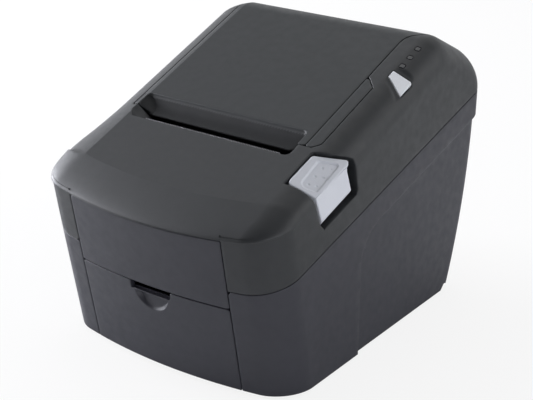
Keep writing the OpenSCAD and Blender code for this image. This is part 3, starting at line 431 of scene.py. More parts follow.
def to_object(name, V, T, smooth_angle=40.0):
    """A Blender object from a mesh in millimetres."""
    me = bpy.data.meshes.new(name)
    me.from_pydata([tuple(v) for v in np.asarray(V) * 0.001], [], [tuple(int(i) for i in t) for t in T])
    me.validate()
    bm = bmesh.new()
    bm.from_mesh(me)
    bmesh.ops.remove_doubles(bm, verts=bm.verts, dist=2e-6)
    bmesh.ops.dissolve_degenerate(bm, edges=bm.edges, dist=1e-6)
    bm.to_mesh(me)
    bm.free()
    for p in me.polygons:
        p.use_smooth = True
    me.set_sharp_from_angle(angle=math.radians(smooth_angle))
    # the creases of the left shoulder and of the nose stay crisp
    P = np.array([tuple(v.co) for v in me.vertices]) * 1000
    shoulder = (np.abs(P[:, 0] + HALF_W - WIDE_L) < 0.02) & (P[:, 2] > TOP_Z)
    nose = (np.abs(P[:, 1] - bow(P[:, 0]) - NOSE_TOP_Y) < 0.02) & (np.abs(P[:, 0]) < 54) & (P[:, 2] > 90)
    for edge in me.edges:
        a, b = edge.vertices
        if (shoulder[a] and shoulder[b]) or (nose[a] and nose[b]):
            edge.use_edge_sharp = True
    o = bpy.data.objects.new(name, me)
    bpy.context.scene.collection.objects.link(o)
    return o


def join(parts):
    """Several meshes as one."""
    Vs, Ts, base = [], [], 0
    for V, T in parts:
        Vs.append(np.asarray(V, float))
        Ts.append(np.asarray(T, int) + base)
        base += len(V)
    return np.concatenate(Vs), np.concatenate(Ts)


# ---- plan outlines


def round_poly(pts, radii, step=18.0):
    """A polygon with round corners. radii is one number, or one for each corner."""
    pts = [np.array(p, float) for p in pts]
    n = len(pts)
    radii = [radii] * n if not isinstance(radii, (list, tuple)) else radii
    out = []
    for i in range(n):
        p, a, b = pts[i], pts[i - 1], pts[(i + 1) % n]
        r = radii[i]
        u, v = (a - p) / np.linalg.norm(a - p), (b - p) / np.linalg.norm(b - p)
        ang = math.acos(max(-1, min(1, float(u @ v))))
        if r <= 0 or ang > math.pi - 0.02:
            out.append(tuple(p))
            continue
        cut = r / math.tan(ang / 2)
        cut = min(cut, 0.48 * np.linalg.norm(a - p), 0.48 * np.linalg.norm(b - p))
        r = cut * math.tan(ang / 2)
        mid = (u + v) / np.linalg.norm(u + v)
        c = p + mid * (r / math.sin(ang / 2))
        s, e = p + u * cut, p + v * cut
        a0, a1 = math.atan2(*(s - c)[::-1]), math.atan2(*(e - c)[::-1])
        d = (a1 - a0 + math.pi) % (2 * math.pi) - math.pi
        k = max(2, int(abs(math.degrees(d)) / step) + 1)
        turns = [a0 + d * j / k for j in range(k + 1)]
        out += [(c[0] + r * math.cos(t), c[1] + r * math.sin(t)) for t in turns]
    return out


# paper cover: left edge, edge of the slot's rear, and the step and flare of the right edge
COVER_X = -57.6
SLOT_REAR_Y = -27.3
SLOT_LEFT_X = -53.9
SLOT_RIGHT_X = 46.4
SLOT_FLOOR_Z = 103.6
COVER_MAIN = round_poly(
    [(COVER_X, -36.0), (SLOT_LEFT_X, -36.0), (SLOT_LEFT_X, SLOT_REAR_Y), (SLOT_RIGHT_X, SLOT_REAR_Y),
     (SLOT_RIGHT_X, -36.2), (51.0, -36.2), (51.0, 50.2), (59.7, 60.0), (59.7, 130), (COVER_X, 130)],
    [0.8, 0.3, 2.0, 2.4, 0.8, 0.1, 9.0, 9.0, 0, 0])
COVER_TAB = round_poly([(51.0, -36.2), (54.9, -36.2), (58.2, -33.0), (58.2, 10.9), (51.0, 18.2)],
                       [0.1, 1.0, 1.2, 0.6, 0.1])
COVER_ALL = round_poly(
    [(COVER_X, -36.0), (46.6, -36.0), (46.9, -36.2), (54.9, -36.2), (58.2, -33.0), (58.2, 10.9),
     (51.0, 18.2), (51.0, 50.2), (59.7, 60.0), (59.7, 130), (COVER_X, 130)],
    [0.8, 0, 0, 1.0, 1.2, 0.6, 0.6, 9.0, 9.0, 0, 0])
SLOT = round_poly([(-50.6, -44.6), (47.2, -44.6), (47.2, -34.0), (SLOT_LEFT_X, -34.0), (SLOT_LEFT_X, -40.2)],
                  [1.6, 2.6, 0, 0, 2.0])
# feed key: its outline, and the outline and plane (point, normal) of the flattened seat round it
KEY = round_poly([(60.4, 25.7), (60.5, 21.3), (70.0, 17.4), (70.2, 27.7), (69.3, 28.3)],
                 [0.8, 0.7, 0.4, 0.9, 0.6])
KEY_SEAT = round_poly([(58.9, 27.0), (58.9, 20.6), (71.0, 14.9), (71.6, 28.3), (69.8, 29.3)],
                      [1.2, 1.0, 0.6, 1.0, 0.8])
KEY_PLANE = (np.array([66.068, 24.108, 132.964]), np.array([0.5338, -0.3103, 0.7866]))
# the line along which the feed key moves, pointing out of the case
KEY_AXIS = np.array([0.593103, -0.280645, 0.75463])
# the key is thin enough to stay clear of the case's inner face over its whole travel
KEY_THICK = 1.0
KEY_PROUD = 0.35
LAMPS = [("lamp_paper", 31.2), ("lamp_error", 38.3), ("lamp_power", 45.6)]
# front opening: half width and depth behind which it ends, height of the door, hinge of the paper cover
INSERT_X = 46.7
INSERT_Y = -70
DOOR_TOP = 48.3
HINGE = (94.3, 113.0)
BARREL_R = 5.8
BARREL_X = (-57.3, 59.5)
# cable bay: half width, ceiling, front end
BAY = (48.0, 30.0, 60)


def lamp_outline(y):
    """Outline of one lamp window, seen from above."""
    return round_poly([(61.2, y - 1.5), (63.5, y - 0.9), (63.6, y + 1.6), (61.3, y + 1.0)], 0.45)


def xy(P):
    return P[:, :2]


def both(*fields):
    """Negative where every field is negative."""
    return np.maximum.reduce(fields)


def any_of(*fields):
    """Negative where at least one field is negative."""
    return np.minimum.reduce(fields)


def lip_z(x):
    """Height of the hood's lip."""
    return LIP_Z + PLANE_T * bow(x)


def g_seam(P):
    """Negative above the seam between the upper and the lower case."""
    return (part_z(P[:, 1]) - P[:, 2]) * SEAM_COS


def g_front(P, top):
    """Negative in the front opening below the lip, up to the height top under it."""
    return both(np.abs(P[:, 0]) - INSERT_X, P[:, 1] - INSERT_Y, P[:, 2] - (lip_z(P[:, 0]) + top))


def slope_s(P):
    """Distance up the slope of the top from the front edge of the lever."""
    return (P[:, 1] + 60.4) * math.cos(SLOPE) + (P[:, 2] - 105.49) * math.sin(SLOPE)


def g_pocket(P):
    """Negative in the pocket of the lever."""
    x, s = P[:, 0], slope_s(P)
    left = 57.4 - x
    front = -1.0 + 0.055 * (x - 58.4) - s
    rear = np.interp(x, [57.7, 60.9, 65.0, 68.2, 70.7, 71.3], [22.5, 23.9, 25.7, 28.7, 32.5, 33.6])
    rear = rear - 2.4 * (1 - smooth(92, 109, P[:, 2])) * smooth(70, 72, x)
    low = (81.7 + 0.3206 * (P[:, 1] + 50.9) - P[:, 2]) * 0.95
    return both(left, front, (s - rear) * 0.8, low)


def top_only(P, g):
    """g on the top of the case, and far outside below it."""
    return np.where(P[:, 2] > TOP_Z, g, 50.0)


def from_above(outline):
    """The field of an outline on the top of the case, negative inside."""
    return lambda P: top_only(P, sd_poly(xy(P), outline))


def g_top_openings(P):
    """Negative in the openings of the top: paper cover, slot, key and lamps."""
    outlines = [COVER_ALL, SLOT, KEY] + [lamp_outline(y) for _, y in LAMPS]
    return top_only(P, any_of(*[sd_poly(xy(P), line) for line in outlines]))


def tight(P):
    """How much closer the seam is at the front columns."""
    return 0.13 * (1 - smooth(-88, -66, P[:, 1]))


def g_upper(P):
    return both(g_seam(P) - tight(P), -g_front(P, -0.12), -g_top_openings(P), -g_pocket(P))


def g_lower(P):
    """Below the seam, without the front opening, the cable bay and the room for the hinge's barrel."""
    bay = both(np.abs(P[:, 0]) - BAY[0], P[:, 2] - BAY[1], BAY[2] - P[:, 1])
    axis = np.hypot(P[:, 1] - HINGE[0], P[:, 2] - HINGE[1])
    barrel = any_of(BARREL_R + 1 - axis, P[:, 0] + 57.9, 60.0 - P[:, 0])
    return both(-g_seam(P) - tight(P), -g_front(P, 40.0), -bay, barrel)


def g_panel(P):
    return both(g_front(P, -0.3), DOOR_TOP + 0.2 - P[:, 2])


def g_door(P):
    """The drop-down door, with the notch in its top edge."""
    body = both(np.abs(P[:, 0]) - INSERT_X, P[:, 1] - INSERT_Y, P[:, 2] - DOOR_TOP)
    notch = both(np.abs(P[:, 0] - 0.4) - 12.3, 44.2 - P[:, 2])
    return both(body, -notch)


def g_cover(P):
    """The paper cover, whose rear edge ends above the hinge."""
    rear = np.where(P[:, 1] > 60, HINGE[1] + 6.7 - P[:, 2], -50.0)
    return top_only(P, both(sd_poly(xy(P), COVER_MAIN), rear))


def slot_curve(k):
    """Offsets in y and z from the rear edge of the slot down its curved wall."""
    top = np.array([SLOT_REAR_Y, plane_z(SLOT_REAR_Y)])
    foot, turn = np.array([-36.7, 111.1]), np.array([-28.6, 112.2])
    lip = np.array([(-36.95, 110.9), (-36.9, 110.3), (-36.4, 110.1), (-33.4, 110.1)])
    return np.concatenate([curve(top, turn, foot, steps(k - 3)[:, None]), lip]) - top


def rim_plain(P, N, depth=SKIN_T):
    """Walls of a piece: offsets of the rings below each point of its edge."""
    return (-N * depth)[None]


def wall(N, depth, t):
    """Rings straight in along N, down to depth."""
    return -N[None] * (depth * t)[:, None, None]


def rim_cover(P, N, rings=14):
    """Walls of the paper cover: the slot's curved wall at its front edge, with a funnel at the left end."""
    down = slot_curve(rings)
    t = steps(rings + 1)
    out = wall(N, SKIN_T, t)
    at_rear = (np.abs(P[:, 1] - SLOT_REAR_Y) < 1.2) & (P[:, 0] < 46.0) & (P[:, 0] > -54.2)
    at_cheek = (P[:, 1] < -27.0) & (np.abs(P[:, 0] - 46.6) < 1.0)
    at_left = (P[:, 1] < -27.0) & (P[:, 0] > -54.7) & (P[:, 0] < -51.4)
    for i in np.nonzero(at_rear | at_cheek | at_left)[0]:
        w = float(np.clip((SLOT_RIGHT_X - P[i, 0]) / 2.6, 0, 1)) if at_rear[i] else 0.0
        if at_left[i]:
            w = float(np.clip((P[i, 0] - SLOT_LEFT_X) / 2.4, 0, 1))
        drop = P[i, 2] - 109.6
        out[:, i, 1] = w * down[:, 0]
        out[:, i, 2] = w * down[:, 1] - (1 - w) * drop * t
        out[:, i, 0] = 11.5 * np.minimum(t * 1.3, 1) * np.clip((-46 - P[i, 0]) / 8, 0, 1)
    return out


def rim_upper(P, N, rings=5):
    """Walls of the hood: upright at the slot, deep at the lever's pocket, along the key's line at the key."""
    t = steps(rings + 1)
    out = wall(N, SKIN_T, t)
    on_top = P[:, 2] > TOP_Z
    slot = (np.abs(sd_poly(xy(P), SLOT)) < 1.2) & (P[:, 1] < -34.6) & on_top & (P[:, 0] < 50)
    side = (P[:, 0] < -52) & (P[:, 0] > -55) & (P[:, 1] > -41) & (P[:, 1] < -35.8) & on_top
    for i in np.nonzero(slot | side)[0]:
        lean = 10.5 * float(np.clip((-50.4 - P[i, 0]) / 2.0, 0, 1))
        out[:, i] = np.array([[lean * min(1.6 * v, 1), 0, -(P[i, 2] - SLOT_FLOOR_Z) * v] for v in t])
    deep = np.abs(g_pocket(P)) < 1.2
    out[:, deep] = wall(N[deep], 7.0, t)
    key = (np.abs(sd_poly(xy(P), KEY)) < 0.9) & on_top
    out[:, key] = -KEY_AXIS * (3.6 * t)[:, None, None]
    return out


def shell(V, T, g, r=0.45, gap=0.2, thick=SKIN_T, rim=rim_plain, inner_dir=None):
    """A piece of the skin with round edges, walls round its openings and an inner face."""
    gg = lambda P: g(P) + gap
    V, T = keep(V, T, gg(V)[T].min(1) < 4)
    V, T = split(V, T, gg, (0.0, -0.14 * r, -0.45 * r, -r))
    V, T = keep(V, T, gg(V)[T].max(1) < 2e-3)
    N = normals(V, T)
    D = N if inner_dir is None else inner_dir(V, N)
    inner = V - D * thick
    out = V - N * fillet_drop(-gg(V), r)[:, None]
    edge = open_edges(T)
    rv = np.unique(edge)
    path = rim(V[rv], N[rv])
    verts = [out, inner] + [out[rv] + offset for offset in path]
    sides = walls(edge, len(path), 2 * len(V))
    return np.concatenate(verts), np.concatenate([T, T[:, ::-1] + len(V), sides])


def recess_d(P):
    """Signed distance to the outline of the side recess, negative inside it."""
    y, z = P[:, 1], P[:, 2]
    # front edge, width of the band below the seam, rounding of the corner, slope of the upper edge
    y0, band, r, ps = -18.6, 13.4, 24.0, math.radians(15.9)
    line_z = part_z(y0) - band
    c = np.array([y0 + r, line_z + r * math.tan(ps) - r / math.cos(ps)])
    d1 = y0 - y
    d2 = (z - (part_z(y) - band)) * math.cos(ps)
    u, v = y - c[0], z - c[1]
    wedge = (u < 0) & (-u * math.sin(ps) + v * math.cos(ps) > 0) & (u * math.cos(ps) + v * math.sin(ps) < 0)
    return np.where(wedge, np.hypot(u, v) - r, np.maximum(d1, d2))


def press_sides(V, T):
    """Sets the lower rear part of both sides back behind a soft bevel."""
    start, depth = 58.0, 1.9
    side = lambda P: np.where(np.abs(P[:, 0]) > 60, recess_d(P), 40.0)
    V, T = split(V, T, side, (0.0, -0.3, -0.65, -1.0, -1.35, -1.7, -2.0))
    d = recess_d(V)
    w = smooth(0, 2.0, -d)
    share = np.clip((np.abs(V[:, 0]) - start) / (HALF_W - start), 0, 1)
    V = V.copy()
    V[:, 0] -= np.sign(V[:, 0]) * depth * w * share
    return V, T


def press_key(V, T):
    """Flattens the shoulder into a shallow seat round the feed key."""
    c, n = KEY_PLANE
    n = n / np.linalg.norm(n)
    seat, blend = from_above(KEY_SEAT), 2.6
    V, T = split(V, T, seat, (blend, 1.7, 0.9, 0.0))
    over = np.maximum((V - c) @ n, 0)
    w = 1 - smooth(0, blend, seat(V))
    return V - n * (over * w)[:, None], T


def press_scoop(V, T):
    """Presses the half-round finger hollow into the door."""
    x, z, r, depth = 0.8, 45.6, 11.0, 2.3
    near = lambda P: (P[:, 1] < INSERT_Y) & (P[:, 2] < 47)
    circle = lambda P: np.where(near(P), np.hypot(P[:, 0] - x, P[:, 2] - z) - r, 30.0)
    V, T = split(V, T, circle, (0.0, -0.2, -0.5, -0.9, -1.3, -1.8))
    V, T = split(V, T, lambda P: np.where(circle(P) < 0, P[:, 2], 0.0), (42.6, 43.1, 43.6, 44.0))
    d = circle(V)
    depth = depth * (0.45 + 0.55 * smooth(34.0, 41.0, V[:, 2])) * (1 - smooth(42.6, 44.0, V[:, 2]))
    V = V.copy()
    V[:, 1] += depth * smooth(0, 1.9, -d)
    return V, T


# ---- small solids


def plate(outline, plane, thick, r=0.5, step=0.8, height=None, sharp=None):
    """A plate on an outline in the plane (origin, u, v, n), its top edge rounded. height adds a relief to
    its top, and sharp says where the edge stays sharp."""
    o, eu, ev, en = (np.array(q, float) for q in plane)
    pts = []
    m = len(outline)
    for i in range(m):
        a, b = np.array(outline[i], float), np.array(outline[(i + 1) % m], float)
        k = max(1, int(np.linalg.norm(b - a) / step))
        pts += [a + (b - a) * j / k for j in range(k)]
    pts = np.array(pts)
    area = 0.5 * np.sum(pts[:, 0] * np.roll(pts[:, 1], -1) - np.roll(pts[:, 0], -1) * pts[:, 1])
    if area < 0:
        pts = pts[::-1]
    tang = np.roll(pts, -1, 0) - np.roll(pts, 1, 0)
    tang /= np.linalg.norm(tang, axis=1)[:, None] + 1e-12
    inward = np.stack([-tang[:, 1], tang[:, 0]], 1)
    rings = [pts + inward * q * r for q in (0.14, 0.45, 1.0)]
    lo, hi = pts.min(0), pts.max(0)
    gu, gv = np.arange(lo[0] + step / 2, hi[0], step), np.arange(lo[1] + step / 2, hi[1], step)
    grid = np.array([(a, b) for a in gu for b in gv])
    grid = grid[inside(grid, pts) & (dist_poly(grid, pts) > r + 0.4 * step)]
    rings = [ring[inside(ring, pts) & (dist_poly(ring, pts) > 0.1 * r)] for ring in rings]
    found, _, faces = fill(np.concatenate([pts, *rings, grid]), len(pts), 1e-6)
    uv = np.array([tuple(v) for v in found])
    h = -fillet_drop(dist_poly(uv, pts), r)
    if sharp is not None:
        h = np.where(sharp(uv), 0.0, h)
    if height is not None:
        h = h + height(uv)
    V = o + uv[:, :1] * eu + uv[:, 1:] * ev + h[:, None] * en
    way = -1 if np.cross(eu, ev) @ en < 0 else 1
    T = np.array(faces)[:, ::way]
    edge = open_edges(T)
    rv = np.unique(edge)
    where = {int(v): len(V) + k for k, v in enumerate(rv)}
    T = np.concatenate([T, walls(edge, 1, len(V))])
    V = np.concatenate([V, V[rv] - en * thick])
    # flat underside, inside the loop of the edge
    following = {int(a): int(b) for a, b in edge}
    order = [int(edge[0][0])]
    while following[order[-1]] != order[0]:
        order.append(following[order[-1]])
    _, source, faces = fill(uv[order], len(order), 1e-6)
    back = np.array([[where[order[source[q][0]]] for q in f] for f in faces])[:, [0, 2, 1]]
    return V, np.concatenate([T, back[:, ::way]])


def rounded_box(a, b, r=0.4, seg=2):
    """A box from corner a to corner b with round edges."""
    a, b = np.minimum(a, b), np.maximum(a, b)
    bm = bmesh.new()
    bmesh.ops.create_cube(bm, size=1.0)
    for v in bm.verts:
        v.co = Vector([(a[k] + b[k]) / 2 + v.co[k] * (b[k] - a[k]) for k in range(3)])
    r = min(r, 0.45 * float(np.min(np.array(b) - np.array(a))))
    bmesh.ops.bevel(bm, geom=list(bm.edges), offset=r, segments=seg, profile=0.5, affect="EDGES")
    bmesh.ops.triangulate(bm, faces=bm.faces)
    bm.verts.index_update()
    V = np.array([tuple(v.co) for v in bm.verts])
    T = np.array([[v.index for v in f.verts] for f in bm.faces])
    bm.free()
    return V, T


def turned(profile, centre, axis, seg=48):
    """A body of rotation: profile is [(along, radius), ...] from one end to the other."""
    axis = {"x": 0, "y": 1, "z": 2}[axis]
    u, v = [(1, 2), (2, 0), (0, 1)][axis]
    V, T = [], []
    n = len(profile)
    for along, rad in profile:
        for k in range(seg):
            t = 2 * math.pi * k / seg
            p = list(centre)
            p[axis] += along
            p[u] += rad * math.cos(t)
            p[v] += rad * math.sin(t)
            V.append(p)
    for i in range(n - 1):
        for k in range(seg):
            a, b = i * seg + k, i * seg + (k + 1) % seg
            c, d = a + seg, b + seg
            T += [(a, b, d), (a, d, c)]
    for end, flip in ((0, True), (n - 1, False)):
        c = len(V)
        p = list(centre)
        p[axis] += profile[end][0]
        V.append(p)
        for k in range(seg):
            a, b = end * seg + k, end * seg + (k + 1) % seg
            T.append((c, b, a) if flip else (c, a, b))
    return np.array(V, float), np.array(T)


# ---- materials


def add_node(nt, kind, values=(), links=()):
    """A shader node with values on some of its sockets and links into others."""
    n = nt.nodes.new("ShaderNode" + kind)
    for key, v in dict(values).items():
        n.inputs[key].default_value = v
    for key, source in dict(links).items():
        nt.links.new(source, n.inputs[key])
    return n


def new_material(name):
    """A material with one shader: itself, its nodes, the shader and object coordinates."""
    m = bpy.data.materials.new(name)
    m.use_nodes = True
    nt = m.node_tree
    nt.nodes.clear()
    b = add_node(nt, "BsdfPrincipled")
    add_node(nt, "OutputMaterial", links={"Surface": b.outputs["BSDF"]})
    return m, nt, b, add_node(nt, "TexCoord").outputs["Object"]


def noise(nt, co, scale, detail=2.0, rough=0.5, stretch=None):
    if stretch:
        co = add_node(nt, "Mapping", {"Scale": stretch}, {"Vector": co}).outputs["Vector"]
    values = {"Scale": scale, "Detail": detail, "Roughness": rough}
    return add_node(nt, "TexNoise", values, {"Vector": co}).outputs["Fac"]


def ramp(nt, fac, c0, c1, p0=0.3, p1=0.7):
    """A colour from c0 at p0 to c1 at p1."""
    r = add_node(nt, "ValToRGB", links={"Fac": fac})
    for k, (c, place) in enumerate(((c0, p0), (c1, p1))):
        r.color_ramp.elements[k].position = place
        r.color_ramp.elements[k].color = (*c, 1)
    return r.outputs["Color"]


def spread(nt, fac, lo, hi, p0=0.3, p1=0.7, kind="LINEAR"):
    """A value from lo at p0 to hi at p1."""
    r = add_node(nt, "MapRange", {"From Min": p0, "From Max": p1, "To Min": lo, "To Max": hi}, {"Value": fac})
    r.interpolation_type = kind
    return r.outputs["Result"]


def bump(nt, b, height, distance, strength=1.0, chain=None):
    """Relief on the shader, on top of the relief chain if there is one."""
    links = {"Height": height}
    if chain is not None:
        links["Normal"] = chain
    n = add_node(nt, "Bump", {"Distance": distance, "Strength": strength}, links)
    nt.links.new(n.outputs["Normal"], b.inputs["Normal"])
    return n.outputs["Normal"]


def tone(c, k):
    return tuple(max(0.0, min(1.0, v * k)) for v in c)


def coat_with(nt, b, colour, rough, **values):
    """Gives the shader its colour, its uneven gloss and other plain values."""
    nt.links.new(colour, b.inputs["Base Color"])
    nt.links.new(rough, b.inputs["Roughness"])
    for key, v in values.items():
        b.inputs[key.replace("_", " ")].default_value = v


def plastic(name, base, rough, grain=3.0e-5, size=2600.0, mottle=0.06, coat=0.0, spec=0.5):
    """Moulded plastic with a spark-eroded grain, a faint flow mottle and uneven gloss."""
    m, nt, b, co = new_material(name)
    mix = add_node(nt, "Math")
    mix.operation = "MULTIPLY_ADD"
    mix.inputs[1].default_value = 0.35
    nt.links.new(noise(nt, co, size * 0.6, 1.0), mix.inputs[0])
    nt.links.new(noise(nt, co, 46.0, 3.0), mix.inputs[2])
    colour = ramp(nt, mix.outputs[0], tone(base, 1 - mottle), tone(base, 1 + mottle), 0.4, 0.95)
    coat_with(nt, b, colour, spread(nt, noise(nt, co, 210.0, 2.0), rough - 0.05, rough + 0.06),
              Specular_IOR_Level=spec)
    first = bump(nt, b, noise(nt, co, size, 2.0, 0.6), grain)
    bump(nt, b, noise(nt, co, 120.0, 1.0), 2.2e-5, 0.5, first)
    if coat:
        b.inputs["Coat Weight"].default_value = coat
        b.inputs["Coat Roughness"].default_value = 0.12
    return m


def metal(name, base, rough, stretch=(1.0, 26.0, 26.0), scratch=2.0e-5):
    """Rolled, ground or cut metal with directional marks."""
    m, nt, b, co = new_material(name)
    lines = noise(nt, co, 60.0, 4.0, 0.65, stretch)
    colour = ramp(nt, noise(nt, co, 35.0, 2.0), tone(base, 0.86), tone(base, 1.05))
    coat_with(nt, b, colour, spread(nt, lines, rough - 0.09, rough + 0.1), Metallic=1.0)
    bump(nt, b, lines, scratch)
    return m


def rubber(name, base, rough=0.75):
    m, nt, b, co = new_material(name)
    coat_with(nt, b, ramp(nt, noise(nt, co, 300.0, 3.0), tone(base, 0.85), tone(base, 1.2)),
              spread(nt, noise(nt, co, 900.0), rough - 0.08, rough + 0.08))
    bump(nt, b, noise(nt, co, 1800.0, 2.0), 4e-5)
    return m


def board(name):
    """Green solder mask with copper tracks showing through as lighter lines and round pads."""
    m, nt, b, co = new_material(name)
    cells = add_node(nt, "TexVoronoi", {"Scale": 260.0}, {"Vector": co}).outputs["Distance"]
    lines = add_node(nt, "TexWave", {"Scale": 90.0, "Distortion": 3.0}, {"Vector": co}).outputs["Fac"]
    tracks = ramp(nt, lines, (0.012, 0.08, 0.035), (0.02, 0.13, 0.055), 0.55, 0.6)
    pads = ramp(nt, cells, (0.55, 0.55, 0.5), (0.0, 0.0, 0.0), 0.1, 0.13)
    add = add_node(nt, "Mix")
    add.data_type = "RGBA"
    add.blend_type = "ADD"
    add.inputs[0].default_value = 0.5
    nt.links.new(tracks, add.inputs[6])
    nt.links.new(pads, add.inputs[7])
    coat_with(nt, b, add.outputs[2], spread(nt, cells, 0.25, 0.4, 0.1, 0.2))
    bump(nt, b, lines, 3e-5)
    return m


def lens(name, base):
    """Moulded light pipe, smoky when it is off."""
    m, nt, b, co = new_material(name)
    coat_with(nt, b, ramp(nt, noise(nt, co, 500.0), tone(base, 0.85), tone(base, 1.15)),
              spread(nt, noise(nt, co, 700.0), 0.08, 0.18), Coat_Weight=0.25, Coat_Roughness=0.05)
    return m


CHARCOAL = plastic("case charcoal", (0.0215, 0.0235, 0.026), 0.50)
SLATE = plastic("case slate", (0.027, 0.0275, 0.037), 0.48)
COVER = plastic("cover charcoal", (0.0205, 0.0235, 0.026), 0.49)
# painted shade: a darker, duller copy of the charcoal for the slot's curved wall, standing in for the shade
# inside the slot
SLOT_PAINTED_SHADE = plastic("slot painted shade", (0.010, 0.011, 0.0125), 0.62, spec=0.28)
INNER = plastic("inner black", (0.016, 0.016, 0.018), 0.42, 2.0e-5, 1600.0)
GREY = plastic("lever grey", (0.66, 0.68, 0.735), 0.38, 1.2e-5, 2400.0, 0.03)
PALE = plastic("key pale", (0.86, 0.88, 0.92), 0.36, 1.0e-5, 2400.0, 0.03)
SOCKET = plastic("socket black", (0.018, 0.018, 0.02), 0.3, 1.0e-5, 1800.0)
ACETAL = plastic("white acetal", (0.72, 0.72, 0.68), 0.32, 1.0e-5, 1500.0, 0.04)
NATURAL = plastic("natural acetal", (0.66, 0.60, 0.45), 0.35, 1.0e-5, 1500.0, 0.05)
STEEL = metal("ground steel", (0.60, 0.60, 0.62), 0.28)
BLUED = metal("tear-off steel", (0.24, 0.24, 0.255), 0.34)
ZINC = metal("zinc plated sheet", (0.52, 0.53, 0.55), 0.38, (3.0, 3.0, 3.0), 1.5e-5)
CAN = metal("motor can", (0.30, 0.30, 0.32), 0.36, (20.0, 1.0, 1.0))
NICKEL = metal("nickel shell", (0.62, 0.61, 0.58), 0.25, (2.0, 2.0, 14.0), 1.0e-5)
ALUM = metal("extruded aluminium", (0.60, 0.61, 0.63), 0.34, (1.0, 18.0, 18.0))
BRASS = metal("cut brass", (0.68, 0.50, 0.22), 0.28, (12.0, 1.0, 1.0))
COATED = plastic("powder coat", (0.03, 0.03, 0.033), 0.5, 5e-5, 1500.0)
RUBBER = rubber("soft rubber", (0.018, 0.018, 0.019))
ROLLER = rubber("ground rubber", (0.028, 0.028, 0.031), 0.6)
CERAMIC = plastic("glazed ceramic", (0.62, 0.63, 0.58), 0.16, 5e-6, 900.0, 0.05, 0.5)
GREEN = board("solder mask")
SLEEVE = plastic("capacitor sleeve", (0.03, 0.035, 0.09), 0.25, 4e-6, 900.0, 0.05, 0.3)
LENS = lens("lamp window", (0.030, 0.031, 0.036))

FINISH = (
    (STEEL, "door_pins hinge_rod fixed_blade platen_shaft idler_pin head_spring head_rod cutter_blade "
            "tear_bar lever_pin"),
    (ZINC, "base_screws frame frame_screws cutter_table rear_plate"),
    (SOCKET, "key_switch main_chip power_inlet drawer_socket rocker_frame power_rocker"),
    (NICKEL, "serial_socket usb_socket"),
    (CAN, "feed_motor cutter_motor"),
    (BRASS, "motor_gear cutter_pinion"),
    (ALUM, "heat_sink"),
    (COATED, "base_plate"),
    (INNER, "platen_carrier roll_bin"),
    (ACETAL, "platen_gear idler_gear"),
    (NATURAL, "platen_bushes"),
    (RUBBER, "feet"),
    (ROLLER, "platen_rubber"),
    (CERAMIC, "print_head"),
    (GREEN, "control_board main_board"),
    (SLEEVE, "capacitors"),
)


def dress(node, mat):
    """Gives a node of the frame its material and slightly broken edges."""
    o = NODES[node]
    o.data.materials.clear()
    o.data.materials.append(mat)
    lo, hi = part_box(node)
    bevel = o.modifiers.new("edges", "BEVEL")
    bevel.width = min(0.00025, 0.08 * min(hi[k] - lo[k] for k in range(3)))
    bevel.segments = 2
    bevel.limit_method = "ANGLE"
    bevel.angle_limit = math.radians(35)
    bevel.harden_normals = False


for mat, names in FINISH:
    for node in names.split():
        dress(node, mat)


def piece(name, mesh, mat, body, replaced=()):
    """One visible piece, kept in front of the rearmost line of the case."""
    V, T = mesh
    V[:, 1] = np.minimum(V[:, 1], REAR[0] + REAR[2] - 0.02)
    o = to_object(name, V, T)
    o.data.materials.append(mat)
    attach(o, body)
    if replaced:
        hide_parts(*replaced)
    return o


# ---- pieces

SKIN = press_key(*press_sides(*outer_mesh()))


def inner_top(V, N):
    """Inward direction of the inner face: straight down near the slot."""
    w = np.clip(1 - (np.abs(sd_poly(xy(V), SLOT)) - 2) / 4, 0, 1) * (V[:, 2] > TOP_Z)
    D = N * (1 - w)[:, None] + np.array([0, 0, 1.0]) * w[:, None]
    return D / np.linalg.norm(D, axis=1)[:, None]


def upper_cover():
    """The hood with its openings, the floor of the lever's pocket, and what it carries inside."""
    parts = [shell(*SKIN, g_upper, r=0.42, rim=rim_upper, inner_dir=inner_top)]
    V, T = keep(*SKIN, g_pocket(SKIN[0])[SKIN[1]].max(1) < 1.5)
    parts.append((V - normals(V, T) * 6.8, T))
    # wall in front of the slot, ears of the hinge and of the lever, posts of the control board
    parts.append(rounded_box((-54.5, -46.9, SLOT_FLOOR_Z), (48.0, -44.7, 110.6), 0.3))
    for x in (-65.0, 60.1):
        parts.append(rounded_box((x, 88.0, 105.5), (x + 6.9, 99.4, 118.0), 0.8))
    for x in (58.7, 65.3):
        parts.append(rounded_box((x, -25.0, 107.0), (x + 3.0, -19.0, 113.4), 0.4))
    for up_slope in (16.0, 46.0):
        y = up_slope * math.cos(SLOPE) + 3.0
        parts.append(turned([(-14, 2.0), (-1.6, 2.0)], (57.0, y, plane_z(y) - 1.0), "z", 20))
    return join(parts)


def lower_case():
    """The case below the seam, the wall behind the door with its opening, and the cable bay."""
    parts = [shell(*SKIN, g_lower, r=0.42)]
    for x0, x1, z0, z1 in ((-68.5, 14.6, 5.2, 54.0), (29.4, 68.5, 5.2, 54.0), (14.0, 30.0, 5.2, 19.0),
                           (14.0, 30.0, 41.0, 54.0)):
        parts.append(rounded_box((x0, -66.4, z0), (x1, -64.0, z1), 0.4))
    for x in (-50.1, 47.5):
        parts.append(rounded_box((x, -81.0, 9.0), (x + 2.6, -65.0, 17.0), 0.4))
    # walls and ceiling of the cable bay, ending inside the rear wall
    for a, b in (((-50.0, 70.0, 5.2), (-48.0, 95.6, 32.0)), ((48.0, 70.0, 5.2), (50.0, 95.6, 32.0)),
                 ((-50.0, 73.0, 30.0), (50.0, 96.2, 32.0)), ((-50.0, 70.0, 30.0), (50.0, 73.2, 32.0))):
        V, T = rounded_box(a, b, 0.3)
        rear_y = REAR[0] + np.sqrt(REAR[2] ** 2 - (REAR[1] - V[:, 2]) ** 2)
        V[:, 1] = np.minimum(V[:, 1], rear_y - 1.0)
        parts.append((V, T))
    return join(parts)


